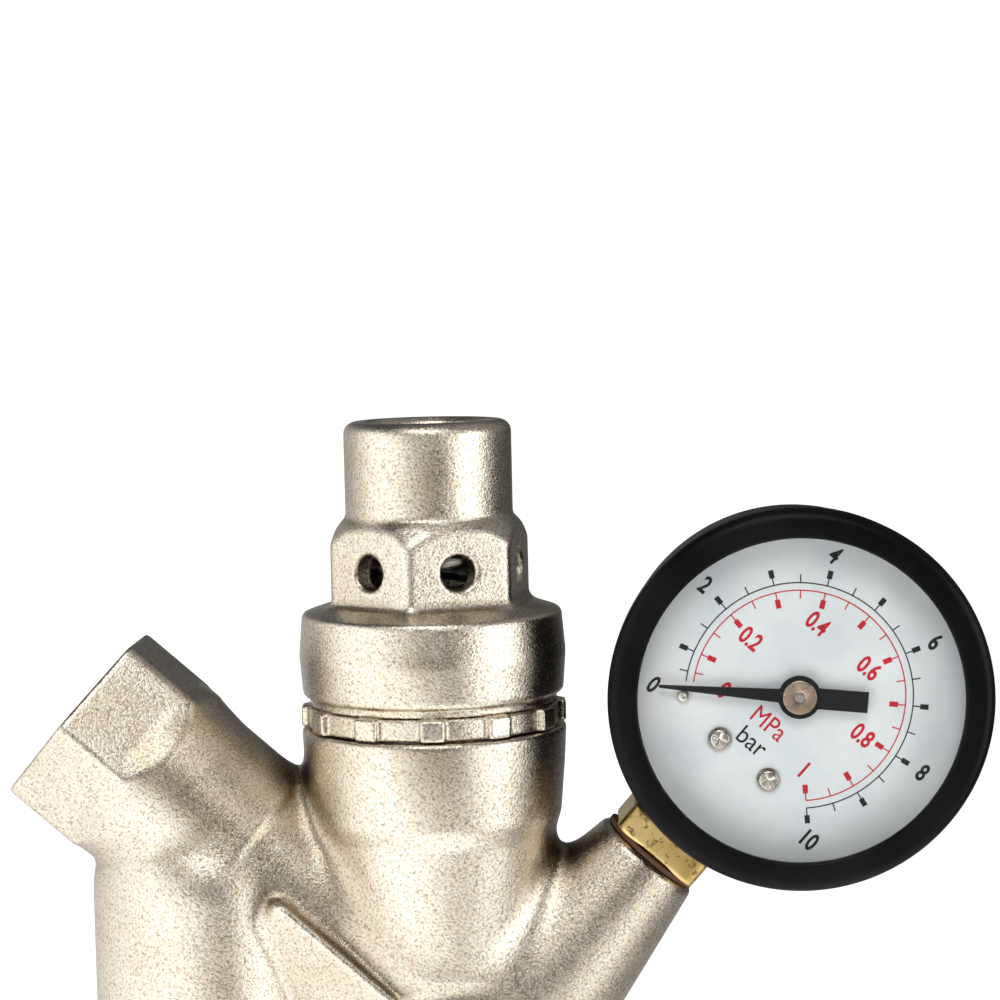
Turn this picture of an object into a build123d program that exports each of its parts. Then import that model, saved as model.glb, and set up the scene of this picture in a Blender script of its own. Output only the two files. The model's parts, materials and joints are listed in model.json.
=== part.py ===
from build123d import *
import math
import os

os.makedirs("parts", exist_ok=True)

# Inclined-bonnet pressure reducing valve for G1/2 pipe, with a built-in strainer and a dial gauge.
# Millimetres. The origin is the centre of the inlet mouth, +X runs with the flow, +Z points to the gauge.

# ---------------------------------------------------------------- driving dimensions
BODY_LENGTH = 108.0            # inlet face to outlet face
PIPE_RADIUS = 13.2             # cast pipe between the two hexagons
PORT_THREAD_RADIUS = 10.48     # G1/2 major radius, the wall of the threaded socket
PORT_THREAD_LENGTH = 13.0
WATERWAY_RADIUS = 7.5
HEX_ACROSS_FLATS = 27.0
HEX_LENGTH = 13.2
HEX_CORNER_RADIUS = 15.0       # the corners are turned down to this radius
NECK_END = 19.5                # where the taper behind the hexagon meets the pipe
NECK_START_RADIUS = 14.75

BONNET_TILT = 41.5             # the bonnet leans back over the inlet by this much from +Z, degrees
BONNET_CROSSING_X = 68.0       # where the bonnet axis crosses the pipe axis

STRAINER_CROSSING_X = 23.7     # where the strainer axis crosses the pipe axis
STRAINER_RADIUS = 16.2
STRAINER_DOME_DROP = 10.0      # from the crossing down to the centre of the domed inner end
STRAINER_MOUTH = 38.0
STRAINER_BORE_RADIUS = 12.6
STRAINER_SEAT_RADIUS = 9.5
STRAINER_SEAT_DEPTH = 5.0
STRAINER_SEAT_LEDGE = 8.0

CUP_BORE_RADIUS = 14.65        # thread that holds the bonnet
CUP_RIM = 42.3                 # heights are along the bonnet axis from the pipe axis
CUP_OUTLINE = [(12.9, 6.6), (14.35, 8.3), (17.0, 27.4), (17.95, 30.4), (18.5, 37.0), (18.8, CUP_RIM)]
CAGE_LEDGE = 23.2
INLET_CHAMBER_RADIUS = 12.2
SEAT_PARTITION_TOP = 3.5
SEAT_PARTITION_BOTTOM = -1.0
SEAT_BORE_RADIUS = 9.05
OUTLET_CHAMBER_RADIUS = 9.5
OUTLET_CHAMBER_BOTTOM = -14.0
SUMP_RADIUS = 12.9
SUMP_CENTRE = -8.0
STRAINED_PASSAGE = (36.0, 56.0)  # drilled along the pipe from the strainer to the inlet chamber
OUTLET_PASSAGE_START = 78.0
GAUGE_CHANNEL_RADIUS = 1.6

PAD_START_X = 37.5             # raised web beside the strainer leg
PAD_END_X = 60.0
PAD_REACH = 16.0
PAD_TOP_Z = 1.0

GAUGE_X = 75.2
GAUGE_Z = 69.1
GAUGE_RADIUS = 26.5
GAUGE_FRONT = 15.7             # depths are towards the viewer of the dial
GAUGE_BACK = -10.8
GAUGE_LIP_RADIUS = 22.3        # the opening in front of the window
GAUGE_WALL = 1.1
WINDOW_RADIUS = 24.8
DIAL_RADIUS = 24.4
BOSS_FACE_Z = 37.6
BOSS_RADIUS = 7.9
BOSS_ROOT_Z = 6.0
BOSS_ROOT_RADIUS = 13.2
GAUGE_THREAD_RADIUS = 6.5      # G1/4
GAUGE_THREAD_LENGTH = 10.6
WASHER_THICKNESS = 0.6
WASHER_RADIUS = 7.5
SQUARE_FLATS = 13.6
SQUARE_TOP_Z = 42.6
SOCKET_NECK_RADIUS = 6.0
SOCKET_NECK_TOP_Z = 46.0
FIT = 0.05                     # radial clearance of a running or screwed fit

BONNET_HEX_FLATS = 25.75
BONNET_HEX_BOTTOM = 59.0
BONNET_HEX_TOP = 71.6
BONNET_HEX_TURN = -98.5        # direction of one corner, degrees round the bonnet axis
VENT_HEIGHT = 65.0
VENT_RADIUS = 2.45
PISTON_BORE_RADIUS = 11.05
SPRING_CHAMBER_RADIUS = 10.0
SPRING_CHAMBER_TOP = 73.5
BONNET_TOP = 85.6
BONNET_TOP_RADIUS = 11.85
COLLAR_BOTTOM = 46.9
COLLAR_NECK_RADIUS = 17.5
COLLAR_OUTLINE = [(18.45, COLLAR_BOTTOM), (18.9, 52.7), (18.4, 58.6), (14.4, 59.9)]
ADJUSTER_BORE_RADIUS = 8.0
SKIRT_BOTTOM = 27.0
SKIRT_GROOVE = (29.4, 31.6)
SKIRT_GROOVE_FLOOR = 12.75

LOCK_RING_BOTTOM = 42.6
LOCK_RING_TOP = 45.6
LOCK_RING_RADIUS = 17.85
LUG_RADIUS = 18.75
LUG_ROOT_RADIUS = 16.0
LUG_WIDTH = 3.4
LUG_COUNT = 12
LUG_TURN = -87.0

PISTON_RADIUS = 11.0
PISTON_BOTTOM = 27.9
PISTON_TOP = 36.0
PISTON_CUP_RADIUS = 9.5
PISTON_GROOVE = (30.4, 32.6)
PISTON_GROOVE_FLOOR = 9.2
SPRING_FLOOR = 34.0
SMALL_PISTON_RADIUS = 6.0
SMALL_PISTON_BOTTOM = 14.0
SMALL_PISTON_TOP = 22.0
SMALL_PISTON_GROOVE = (16.8, 18.8)
SMALL_PISTON_GROOVE_FLOOR = 4.6
STEM_BOTTOM = -11.6
STEM_TOP = 38.4
STEM_SHOULDER_RADIUS = 4.0
STEM_THREAD_RADIUS = 2.0
ROD_RADIUS = 2.4
GUIDE_RADIUS = 6.05
SEAT_OPENING_RADIUS = 5.5
SEAT_LIP_BOTTOM = -1.9
GASKET_TOP = -4.4              # the valve rests open by the gap up to the seat lip
GASKET_THICKNESS = 1.9
GASKET_RADIUS = 6.9
VALVE_DISC_RADIUS = 7.6
VALVE_DISC_BACK = 1.8          # thickness behind the gasket
CAGE_RADIUS = 9.0
CAGE_CHAMBER_RADIUS = 7.4

SPRING_WIRE_RADIUS = 1.3
SPRING_MEAN_RADIUS = 7.9
SPRING_TURNS = 6.5
SPRING_SEAT_BOTTOM = 70.0
SPRING_SEAT_TOP = 72.0
SPRING_SEAT_RADIUS = 9.6
SPRING_PILOT_RADIUS = 6.2
SPRING_PILOT_DROP = 1.6
ADJUSTER_RADIUS = 7.92
ADJUSTER_TOP = 81.0
ADJUSTER_SOCKET_FLATS = 8.0
ADJUSTER_SOCKET_DEPTH = 6.5

CAP_HEX_FLATS = 24.0
CAP_GAP = 0.5                  # between the casting and the cap's flange
CAP_FLANGE_RADIUS = 15.6
CAP_FLANGE_THICKNESS = 2.6
CAP_HEIGHT = 11.0             # from the flange to the end of the hexagon
CAP_THREAD_LENGTH = 10.0
SCREEN_RADIUS = 9.4
SCREEN_WALL = 0.5
SCREEN_END = 33.6

GEAR_MODULE = 0.3
PINION_TEETH = 10
SECTOR_FULL_TEETH = 80
SECTOR_DIRECTION = -52.0       # from the pointer arbor to the sector pivot, degrees
SECTOR_TAIL_LENGTH = 6.0
SECTOR_TAIL_DIRECTION = -35.0
TUBE_RADIUS = 18.5
TUBE_DEPTH = 2.4               # middle of the tube, in front of the dial's centre plane
TUBE_START = -106.0            # where the tube leaves its holder, degrees
TUBE_SWEEP = 262.0
PLATE_THICKNESS = 1.0
FRONT_PLATE_DEPTH = 7.0
REST_POINTER_ANGLE = 216.0     # zero on the dial, counter-clockwise from the dial's right
ARBOR_RADIUS = 0.6
SECTOR_SHAFT_RADIUS = 0.7
DIAL_BACK = 9.5
DIAL_FRONT = 10.0
POINTER_BACK = 11.2
POINTER_FRONT = 11.6
DIAL_SCREWS = ((-4.4, -11.65), (4.4, -11.65))
STOP_PIN = (-12.1, -10.3)
POINTER_LENGTH = 19.4
POINTER_HUB_RADIUS = 3.0
POINTER_TAIL_END = 9.5
POINTER_TAIL_WIDTH = 2.9

# ---------------------------------------------------------------- local frames
tilt = math.radians(BONNET_TILT)
BONNET = Plane(origin=(BONNET_CROSSING_X, 0, 0),
               x_dir=(math.cos(tilt), 0, math.sin(tilt)),
               z_dir=(-math.sin(tilt), 0, math.cos(tilt)))
STRAINER = Plane(origin=(STRAINER_CROSSING_X, 0, 0),
                 x_dir=(math.cos(tilt), 0, math.sin(tilt)),
                 z_dir=(math.sin(tilt), 0, -math.cos(tilt)))
PIPE = Plane(origin=(0, 0, 0), x_dir=(0, 1, 0), z_dir=(1, 0, 0))
DIAL = Plane(origin=(GAUGE_X, 0, GAUGE_Z), x_dir=(1, 0, 0), z_dir=(0, -1, 0))
STEM = Plane(origin=(GAUGE_X, 0, 0), x_dir=(1, 0, 0), z_dir=(0, 0, 1))


# ---------------------------------------------------------------- shape helpers
def disc(radius, bottom, top):
    """Solid cylinder on the local Z axis between two heights."""
    return Pos(0, 0, bottom) * Cylinder(radius, top - bottom, align=(Align.CENTER, Align.CENTER, Align.MIN))


def ring(outer, inner, bottom, top):
    """Flat ring on the local Z axis."""
    return disc(outer, bottom, top) - disc(inner, bottom - 1, top + 1)


def turned(outline, radii=None):
    """Solid of revolution from a closed outline of (radius, height) points, corners rounded by radii."""
    points = [(r, 0, z) for r, z in outline]
    if radii is None:
        wire = Polyline(*points, close=True)
    else:
        wire = FilletPolyline(*points, radius=radii, close=True)
    return revolve(make_face(wire.edges()), Axis.Z)


def hexagon(across_flats, bottom, top, turn=0.0):
    """Hexagonal prism with a corner in the direction turn."""
    sketch = RegularPolygon(across_flats / 2, 6, major_radius=False, rotation=turn)
    return Pos(0, 0, bottom) * extrude(sketch, top - bottom)


def o_ring(mean_radius, section_radius, height):
    return Pos(0, 0, height) * Torus(mean_radius, section_radius)


def around(count, part, start=0.0):
    """Copies of a part spaced evenly round the local Z axis."""
    return [Rot(0, 0, start + 360.0 * k / count) * part for k in range(count)]


def polar(radius, degrees):
    return radius * math.cos(math.radians(degrees)), radius * math.sin(math.radians(degrees))


# ---------------------------------------------------------------- valve body
def port_hex(flip):
    """End hexagon with its turned-down corners and the taper to the pipe, measured from its own face."""
    prism = hexagon(HEX_ACROSS_FLATS, 0, HEX_LENGTH)
    chamfer = 1.2
    barrel = HEX_CORNER_RADIUS + 0.3
    turned_down = turned([(0, 0), (barrel - chamfer, 0), (barrel, chamfer), (barrel, HEX_LENGTH - chamfer),
                          (HEX_CORNER_RADIUS, HEX_LENGTH), (0, HEX_LENGTH)])
    buried = 1.0
    neck = turned([(0, HEX_LENGTH - buried), (PIPE_RADIUS, HEX_LENGTH - buried),
                   (NECK_START_RADIUS, HEX_LENGTH), (PIPE_RADIUS, NECK_END), (0, NECK_END)])
    shape = (prism & turned_down) + neck
    if flip:
        return Pos(0, 0, BODY_LENGTH) * Rot(180, 0, 0) * shape
    return shape


def body_shell():
    """The casting with its outside shape only."""
    pipe = PIPE * (disc(PIPE_RADIUS, HEX_LENGTH, BODY_LENGTH - HEX_LENGTH) + port_hex(False) + port_hex(True))
    cup = BONNET * turned([(0, SUMP_CENTRE), (SUMP_RADIUS, SUMP_CENTRE)] + CUP_OUTLINE + [(0, CUP_RIM)])
    sump = BONNET * Pos(0, 0, SUMP_CENTRE) * Sphere(SUMP_RADIUS)
    leg = STRAINER * disc(STRAINER_RADIUS, STRAINER_DOME_DROP, STRAINER_MOUTH)
    dome = STRAINER * Pos(0, 0, STRAINER_DOME_DROP) * Sphere(STRAINER_RADIUS)
    boss_edge = 1.2
    boss = STEM * turned([(0, BOSS_ROOT_Z), (BOSS_ROOT_RADIUS, BOSS_ROOT_Z), (BOSS_RADIUS, BOSS_FACE_Z),
                          (0, BOSS_FACE_Z)], [0, 0, boss_edge, 0])
    return pipe + cup + sump + leg + dome + boss + side_pad(-1) + side_pad(1)


def side_pad(side):
    """Wedge-shaped web on one flank, with its lower face sloping inwards like the hexagon's."""
    lower_face = 11.0
    edge = 0.8
    slope = math.radians(30)
    foot_y = side * (PAD_REACH - lower_face * math.sin(slope))
    foot_z = PAD_TOP_Z - lower_face * math.cos(slope)
    corners = [(0, PAD_TOP_Z + edge), (side * (PAD_REACH - edge), PAD_TOP_Z + edge),
               (side * PAD_REACH, PAD_TOP_Z), (foot_y, foot_z), (0, foot_z)]
    outline = Polyline(*[(PAD_START_X, y, z) for y, z in corners], close=True)
    return extrude(make_face(outline.edges()), PAD_END_X - PAD_START_X, dir=(1, 0, 0))


def waterways():
    """Everything bored out of the casting."""
    socket_end = PORT_THREAD_LENGTH + 1.5
    socket = turned([(0, -1), (PORT_THREAD_RADIUS, -1), (PORT_THREAD_RADIUS, PORT_THREAD_LENGTH),
                     (WATERWAY_RADIUS, socket_end), (0, socket_end)])
    inlet = PIPE * (socket + disc(WATERWAY_RADIUS, PORT_THREAD_LENGTH, STRAINER_CROSSING_X))
    inlet_end = Pos(STRAINER_CROSSING_X, 0, 0) * Sphere(WATERWAY_RADIUS)
    screen_inlet = STRAINER * disc(WATERWAY_RADIUS, 0, STRAINER_SEAT_LEDGE + 1)
    screen_seat = STRAINER * disc(STRAINER_SEAT_RADIUS, STRAINER_SEAT_DEPTH, STRAINER_SEAT_LEDGE + 1)
    screen_room = STRAINER * disc(STRAINER_BORE_RADIUS, STRAINER_SEAT_LEDGE, STRAINER_MOUTH + 1)
    strained = PIPE * disc(WATERWAY_RADIUS, *STRAINED_PASSAGE)
    cup = BONNET * (disc(CUP_BORE_RADIUS, CAGE_LEDGE, CUP_RIM + 1)
                    + disc(INLET_CHAMBER_RADIUS, SEAT_PARTITION_TOP, CAGE_LEDGE + 1)
                    + disc(SEAT_BORE_RADIUS, SEAT_PARTITION_BOTTOM - 1, SEAT_PARTITION_TOP + 1)
                    + disc(OUTLET_CHAMBER_RADIUS, OUTLET_CHAMBER_BOTTOM, SEAT_PARTITION_BOTTOM))
    outlet = PIPE * (disc(WATERWAY_RADIUS, OUTLET_PASSAGE_START, BODY_LENGTH - PORT_THREAD_LENGTH)
                     + Pos(0, 0, BODY_LENGTH) * Rot(180, 0, 0) * socket)
    thread_end = BOSS_FACE_Z - GAUGE_THREAD_LENGTH
    gauge_thread = STEM * disc(GAUGE_THREAD_RADIUS + FIT, thread_end - 1, BOSS_FACE_Z + 1)
    gauge_channel = STEM * disc(GAUGE_CHANNEL_RADIUS, -2, thread_end)
    return [inlet, inlet_end, screen_inlet, screen_seat, screen_room, strained, cup, outlet,
            gauge_thread, gauge_channel]


def make_body():
    body = body_shell()
    for cut in waterways():
        body = body - cut
    return body


# ---------------------------------------------------------------- bonnet and spring
def make_bonnet():
    skirt_radius = CUP_BORE_RADIUS - FIT
    outer = turned([(0, SKIRT_BOTTOM), (skirt_radius, SKIRT_BOTTOM), (skirt_radius, COLLAR_BOTTOM - 1.2),
                    (COLLAR_NECK_RADIUS, COLLAR_BOTTOM - 1.2), (COLLAR_NECK_RADIUS, COLLAR_BOTTOM),
                    *COLLAR_OUTLINE, (12.6, 59.9), (12.6, 62.0), (0, 62.0)],
                   [0, 0, 0, 0, 0, 0.8, 4.0, 0.8, 0, 0, 0, 0])
    prism = hexagon(BONNET_HEX_FLATS, BONNET_HEX_BOTTOM, BONNET_HEX_TOP, BONNET_HEX_TURN)
    crown_foot = BONNET_HEX_BOTTOM - 0.1
    crown = turned([(0, crown_foot), (15.2, crown_foot), (14.8, BONNET_HEX_TOP - 3.0),
                    (12.4, BONNET_HEX_TOP),
                    (0, BONNET_HEX_TOP)])
    top = turned([(0, BONNET_HEX_BOTTOM + 1), (BONNET_TOP_RADIUS, BONNET_HEX_BOTTOM + 1),
                  (BONNET_TOP_RADIUS, BONNET_TOP), (0, BONNET_TOP)], [0, 0, 1.6, 0])
    bonnet = outer + (prism & crown) + top - bonnet_bore()
    bonnet = bonnet - ring(skirt_radius + 1, SKIRT_GROOVE_FLOOR, *SKIRT_GROOVE)
    vent_length = 20.0
    vent = Rot(0, 90, 0) * Cylinder(VENT_RADIUS, vent_length, align=(Align.CENTER, Align.CENTER, Align.MIN))
    for drilled in around(6, Pos(0, 0, VENT_HEIGHT) * vent, BONNET_HEX_TURN + 30):
        bonnet = bonnet - drilled
    return bonnet


def bonnet_bore():
    """Piston bore, spring chamber and the narrower hole for the adjusting screw, with a chamfered mouth."""
    shoulder = 44.0
    chamfer = 0.8
    mouth_radius = ADJUSTER_BORE_RADIUS + chamfer
    return turned([(0, SKIRT_BOTTOM - 1), (PISTON_BORE_RADIUS, SKIRT_BOTTOM - 1),
                   (PISTON_BORE_RADIUS, shoulder), (SPRING_CHAMBER_RADIUS, shoulder + 1),
                   (SPRING_CHAMBER_RADIUS, SPRING_CHAMBER_TOP),
                   (ADJUSTER_BORE_RADIUS, SPRING_CHAMBER_TOP), (ADJUSTER_BORE_RADIUS, BONNET_TOP - chamfer),
                   (mouth_radius, BONNET_TOP), (mouth_radius, BONNET_TOP + 1), (0, BONNET_TOP + 1)])


def make_lock_ring():
    band = ring(LOCK_RING_RADIUS, CUP_BORE_RADIUS, LOCK_RING_BOTTOM, LOCK_RING_TOP)
    lug_length = LUG_RADIUS - LUG_ROOT_RADIUS
    height = LOCK_RING_TOP - LOCK_RING_BOTTOM
    block = Box(lug_length, LUG_WIDTH, height)
    block = Pos(LUG_ROOT_RADIUS + lug_length / 2, 0, LOCK_RING_BOTTOM + height / 2) * block
    for lug in around(LUG_COUNT, block, LUG_TURN):
        band = band + lug
    return band


def make_adjusting_screw():
    """Threaded plug with a hexagon socket, bearing on the spring seat with a short nose."""
    nose_radius = 4.6
    nose_top = SPRING_SEAT_TOP + 1.0
    chamfer = 0.6
    screw = turned([(0, SPRING_SEAT_TOP), (nose_radius - chamfer, SPRING_SEAT_TOP), (nose_radius, nose_top),
                    (ADJUSTER_RADIUS, nose_top), (ADJUSTER_RADIUS, ADJUSTER_TOP - chamfer),
                    (ADJUSTER_RADIUS - chamfer, ADJUSTER_TOP), (0, ADJUSTER_TOP)])
    socket_bottom = ADJUSTER_TOP - ADJUSTER_SOCKET_DEPTH
    socket_turn = 15.0
    return screw - hexagon(ADJUSTER_SOCKET_FLATS, socket_bottom, ADJUSTER_TOP + 1, socket_turn)


def make_spring_seat():
    """Washer on top of the spring, with a pilot that centres the coil."""
    pilot_bottom = SPRING_SEAT_BOTTOM - SPRING_PILOT_DROP
    chamfer = 0.5
    return turned([(0, pilot_bottom), (SPRING_PILOT_RADIUS - chamfer, pilot_bottom),
                   (SPRING_PILOT_RADIUS, pilot_bottom + chamfer), (SPRING_PILOT_RADIUS, SPRING_SEAT_BOTTOM),
                   (SPRING_SEAT_RADIUS, SPRING_SEAT_BOTTOM), (SPRING_SEAT_RADIUS, SPRING_SEAT_TOP),
                   (0, SPRING_SEAT_TOP)])


def make_main_spring():
    """Round-wire compression spring with both ends ground flat."""
    length = SPRING_SEAT_BOTTOM - SPRING_FLOOR
    pitch = length / SPRING_TURNS
    path = Helix(pitch, length, SPRING_MEAN_RADIUS)
    section = Plane(origin=path @ 0, z_dir=path % 0) * Circle(SPRING_WIRE_RADIUS)
    wire = Pos(0, 0, SPRING_FLOOR) * sweep(section, path=path)
    grinding = 0.02
    return wire & disc(SPRING_MEAN_RADIUS * 2, SPRING_FLOOR + grinding, SPRING_SEAT_BOTTOM - grinding)


# ---------------------------------------------------------------- piston, stem and valve
def make_piston():
    """Main piston, with a seal groove and a cup for the spring on top."""
    chamfer = 0.4
    groove_bottom, groove_top = PISTON_GROOVE
    return turned([(ROD_RADIUS, PISTON_BOTTOM), (PISTON_RADIUS - chamfer, PISTON_BOTTOM),
                   (PISTON_RADIUS, PISTON_BOTTOM + chamfer), (PISTON_RADIUS, groove_bottom),
                   (PISTON_GROOVE_FLOOR, groove_bottom), (PISTON_GROOVE_FLOOR, groove_top),
                   (PISTON_RADIUS, groove_top), (PISTON_RADIUS, PISTON_TOP),
                   (PISTON_CUP_RADIUS, PISTON_TOP),
                   (PISTON_CUP_RADIUS, SPRING_FLOOR), (ROD_RADIUS, SPRING_FLOOR)])


def make_stem():
    """Rod from the main piston through the small balancing piston down to the valve disc."""
    chamfer = 0.6
    valve_shoulder = GASKET_TOP + 0.2
    shank_radius = ROD_RADIUS + 0.8
    groove_bottom, groove_top = SMALL_PISTON_GROOVE
    return turned([(0, STEM_BOTTOM), (STEM_THREAD_RADIUS - 0.1, STEM_BOTTOM),
                   (STEM_THREAD_RADIUS, STEM_BOTTOM + chamfer), (STEM_THREAD_RADIUS, valve_shoulder),
                   (shank_radius, valve_shoulder),
                   (shank_radius, SMALL_PISTON_BOTTOM - chamfer),
                   (SMALL_PISTON_RADIUS, SMALL_PISTON_BOTTOM),
                   (SMALL_PISTON_RADIUS, groove_bottom), (SMALL_PISTON_GROOVE_FLOOR, groove_bottom),
                   (SMALL_PISTON_GROOVE_FLOOR, groove_top), (SMALL_PISTON_RADIUS, groove_top),
                   (SMALL_PISTON_RADIUS, SMALL_PISTON_TOP), (STEM_SHOULDER_RADIUS, SMALL_PISTON_TOP),
                   (STEM_SHOULDER_RADIUS, PISTON_BOTTOM), (ROD_RADIUS, PISTON_BOTTOM),
                   (ROD_RADIUS, STEM_TOP),
                   (0, STEM_TOP)])


def nut(across_flats, bore_radius, bottom, height, turn=0.0):
    """Plain hexagon nut."""
    bore = disc(bore_radius, bottom - 1, bottom + height + 1)
    return hexagon(across_flats, bottom, bottom + height, turn) - bore


def make_piston_nut():
    return nut(8.0, ROD_RADIUS, SPRING_FLOOR, 3.4, 10)


def make_valve_disc():
    """Dished disc that holds the flat gasket under the seat."""
    gasket_floor = GASKET_TOP - GASKET_THICKNESS
    bottom = gasket_floor - VALVE_DISC_BACK
    chamfer = 1.2
    lip = gasket_floor + 1.1
    return turned([(STEM_THREAD_RADIUS, bottom), (VALVE_DISC_RADIUS - chamfer, bottom),
                   (VALVE_DISC_RADIUS, bottom + chamfer), (VALVE_DISC_RADIUS, lip), (GASKET_RADIUS, lip),
                   (GASKET_RADIUS, gasket_floor), (STEM_THREAD_RADIUS, gasket_floor)])


def make_valve_gasket():
    return ring(GASKET_RADIUS, STEM_THREAD_RADIUS, GASKET_TOP - GASKET_THICKNESS, GASKET_TOP)


def make_retaining_nut():
    height = 2.6
    bottom = GASKET_TOP - GASKET_THICKNESS - VALVE_DISC_BACK - height
    return nut(7.0, STEM_THREAD_RADIUS, bottom, height)


def make_valve_cage():
    """Insert that guides the small piston and carries the valve seat, windowed for the inlet flow."""
    flange_radius = CUP_BORE_RADIUS - FIT
    lip_radius = SEAT_OPENING_RADIUS + 0.7
    lip_top = SEAT_LIP_BOTTOM + 0.9
    outer = turned([(0, SEAT_LIP_BOTTOM), (lip_radius, SEAT_LIP_BOTTOM), (lip_radius + 0.4, lip_top),
                    (CAGE_RADIUS, lip_top), (CAGE_RADIUS, CAGE_LEDGE), (flange_radius, CAGE_LEDGE),
                    (flange_radius, SKIRT_BOTTOM), (0, SKIRT_BOTTOM)])
    chamber_top = 12.0
    bore = turned([(0, SEAT_LIP_BOTTOM - 1), (SEAT_OPENING_RADIUS, SEAT_LIP_BOTTOM - 1),
                   (SEAT_OPENING_RADIUS, SEAT_PARTITION_TOP), (CAGE_CHAMBER_RADIUS, SEAT_PARTITION_TOP + 1),
                   (CAGE_CHAMBER_RADIUS, chamber_top), (GUIDE_RADIUS, chamber_top + 0.6),
                   (GUIDE_RADIUS, SKIRT_BOTTOM + 1), (0, SKIRT_BOTTOM + 1)])
    cage = outer - bore
    window_size = 6.4
    window_height = 8.0
    window = Pos(CAGE_RADIUS, 0, window_height) * Box(6, window_size, window_size)
    for opening in around(5, window):
        cage = cage - opening
    seal_groove = ring(CAGE_RADIUS + 1, 7.7, 0.6, 2.2)
    pressure_tap = Pos(11.8, 0, CAGE_LEDGE - 1) * Cylinder(0.9, 12)
    return cage - seal_groove - pressure_tap


# ---------------------------------------------------------------- strainer
def make_screen():
    return ring(SCREEN_RADIUS, SCREEN_RADIUS - SCREEN_WALL, STRAINER_SEAT_DEPTH + 0.1, SCREEN_END)


def make_strainer_cap():
    """Plug with a male thread, a flange and a hexagon, hollowed to hold the end of the screen."""
    thread_radius = STRAINER_BORE_RADIUS - FIT
    thread_start = STRAINER_MOUTH - CAP_THREAD_LENGTH
    flange = STRAINER_MOUTH + CAP_GAP
    flange_end = flange + CAP_FLANGE_THICKNESS
    cap = turned([(0, thread_start), (thread_radius, thread_start), (thread_radius, flange),
                  (CAP_FLANGE_RADIUS, flange), (CAP_FLANGE_RADIUS, flange_end),
                  (CAP_FLANGE_RADIUS - 2, flange_end + 0.6), (0, flange_end + 0.6)],
                 [0, 0.4, 0, 0.5, 0.5, 0, 0])
    end = flange + CAP_HEIGHT
    chamfer = 1.5
    crown_radius = CAP_HEX_FLATS / 2 + 2.2
    crown = turned([(0, flange), (crown_radius, flange), (crown_radius - 0.5, end - chamfer + 0.1),
                    (crown_radius - 2, end), (0, end)])
    cap = cap + (hexagon(CAP_HEX_FLATS, flange_end, end, 30) & crown)
    hollow = disc(STRAINER_SEAT_RADIUS, thread_start - 1, SCREEN_END + 0.4)
    seal_recess = ring(14.9, 13.0, flange - 0.1, flange + 0.9)
    return cap - hollow - seal_recess


# ---------------------------------------------------------------- gauge
def make_gauge_case():
    """Round steel cup with a thicker front rim rolled over the window."""
    barrel = GAUGE_RADIUS - 0.5
    inner = barrel - GAUGE_WALL
    lip_back = GAUGE_FRONT - 1.0
    rim_back = 8.8
    outer = turned([(0, GAUGE_BACK), (barrel, GAUGE_BACK), (barrel, rim_back - 0.8),
                    (GAUGE_RADIUS, rim_back),
                    (GAUGE_RADIUS, GAUGE_FRONT), (GAUGE_LIP_RADIUS, GAUGE_FRONT),
                    (GAUGE_LIP_RADIUS, lip_back),
                    (0, lip_back)], [0, 2.4, 0, 0, 1.6, 0.5, 0, 0])
    floor = GAUGE_BACK + GAUGE_WALL
    hollow = turned([(0, floor), (inner, floor), (inner, lip_back), (0, lip_back)], [0, 1.4, 0, 0])
    front_opening = disc(GAUGE_LIP_RADIUS, lip_back - 1, GAUGE_FRONT + 1)
    stem_hole = Rot(90, 0, 0) * disc(SOCKET_NECK_RADIUS + FIT, inner - 4, GAUGE_RADIUS + 4)
    return outer - hollow - front_opening - stem_hole


def make_window():
    return disc(WINDOW_RADIUS, GAUGE_FRONT - 2.5, GAUGE_FRONT - 1.05)


def make_gauge_washer():
    bore_radius = GAUGE_THREAD_RADIUS + FIT
    return STEM * ring(WASHER_RADIUS, bore_radius, BOSS_FACE_Z, BOSS_FACE_Z + WASHER_THICKNESS)


def make_gauge_socket():
    """Threaded stem, wrench square and the inner block that holds the tube and the movement."""
    square_bottom = BOSS_FACE_Z + WASHER_THICKNESS
    thread = disc(GAUGE_THREAD_RADIUS, BOSS_FACE_Z - GAUGE_THREAD_LENGTH + 0.4, square_bottom)
    square_sketch = RectangleRounded(SQUARE_FLATS, SQUARE_FLATS, 0.6)
    square = Pos(0, 0, square_bottom) * extrude(square_sketch, SQUARE_TOP_Z - square_bottom)
    neck = disc(SOCKET_NECK_RADIUS, SQUARE_TOP_Z - 1, SOCKET_NECK_TOP_Z)
    channel = disc(1.5, 0, SOCKET_NECK_TOP_Z - 1.5)
    fitting = STEM * (thread + square + neck - channel)
    block = Pos(0, -16.0, -4.25) * Box(12, 15.8, 6.5)
    tube_holder = Pos(-4.2, -18.6, TUBE_DEPTH) * Box(3.6, 7.0, 7.4)
    return fitting + DIAL * (block + tube_holder) - DIAL * tube_arc(1.25, 3.65)


def tube_arc(half_thickness, half_width):
    """Flat oval tube bent round the dial axis, from the socket block clockwise to the free tip."""
    oval = RectangleRounded(2 * half_thickness, 2 * half_width, half_thickness * 0.98)
    section = Plane.XZ * Pos(TUBE_RADIUS, TUBE_DEPTH) * oval
    return Rot(0, 0, TUBE_START - TUBE_SWEEP) * revolve(section, Axis.Z, revolution_arc=TUBE_SWEEP)


def make_bourdon_tube():
    wall = 0.4
    return tube_arc(1.2, 3.6) - tube_arc(1.2 - wall, 3.6 - wall)


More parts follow.
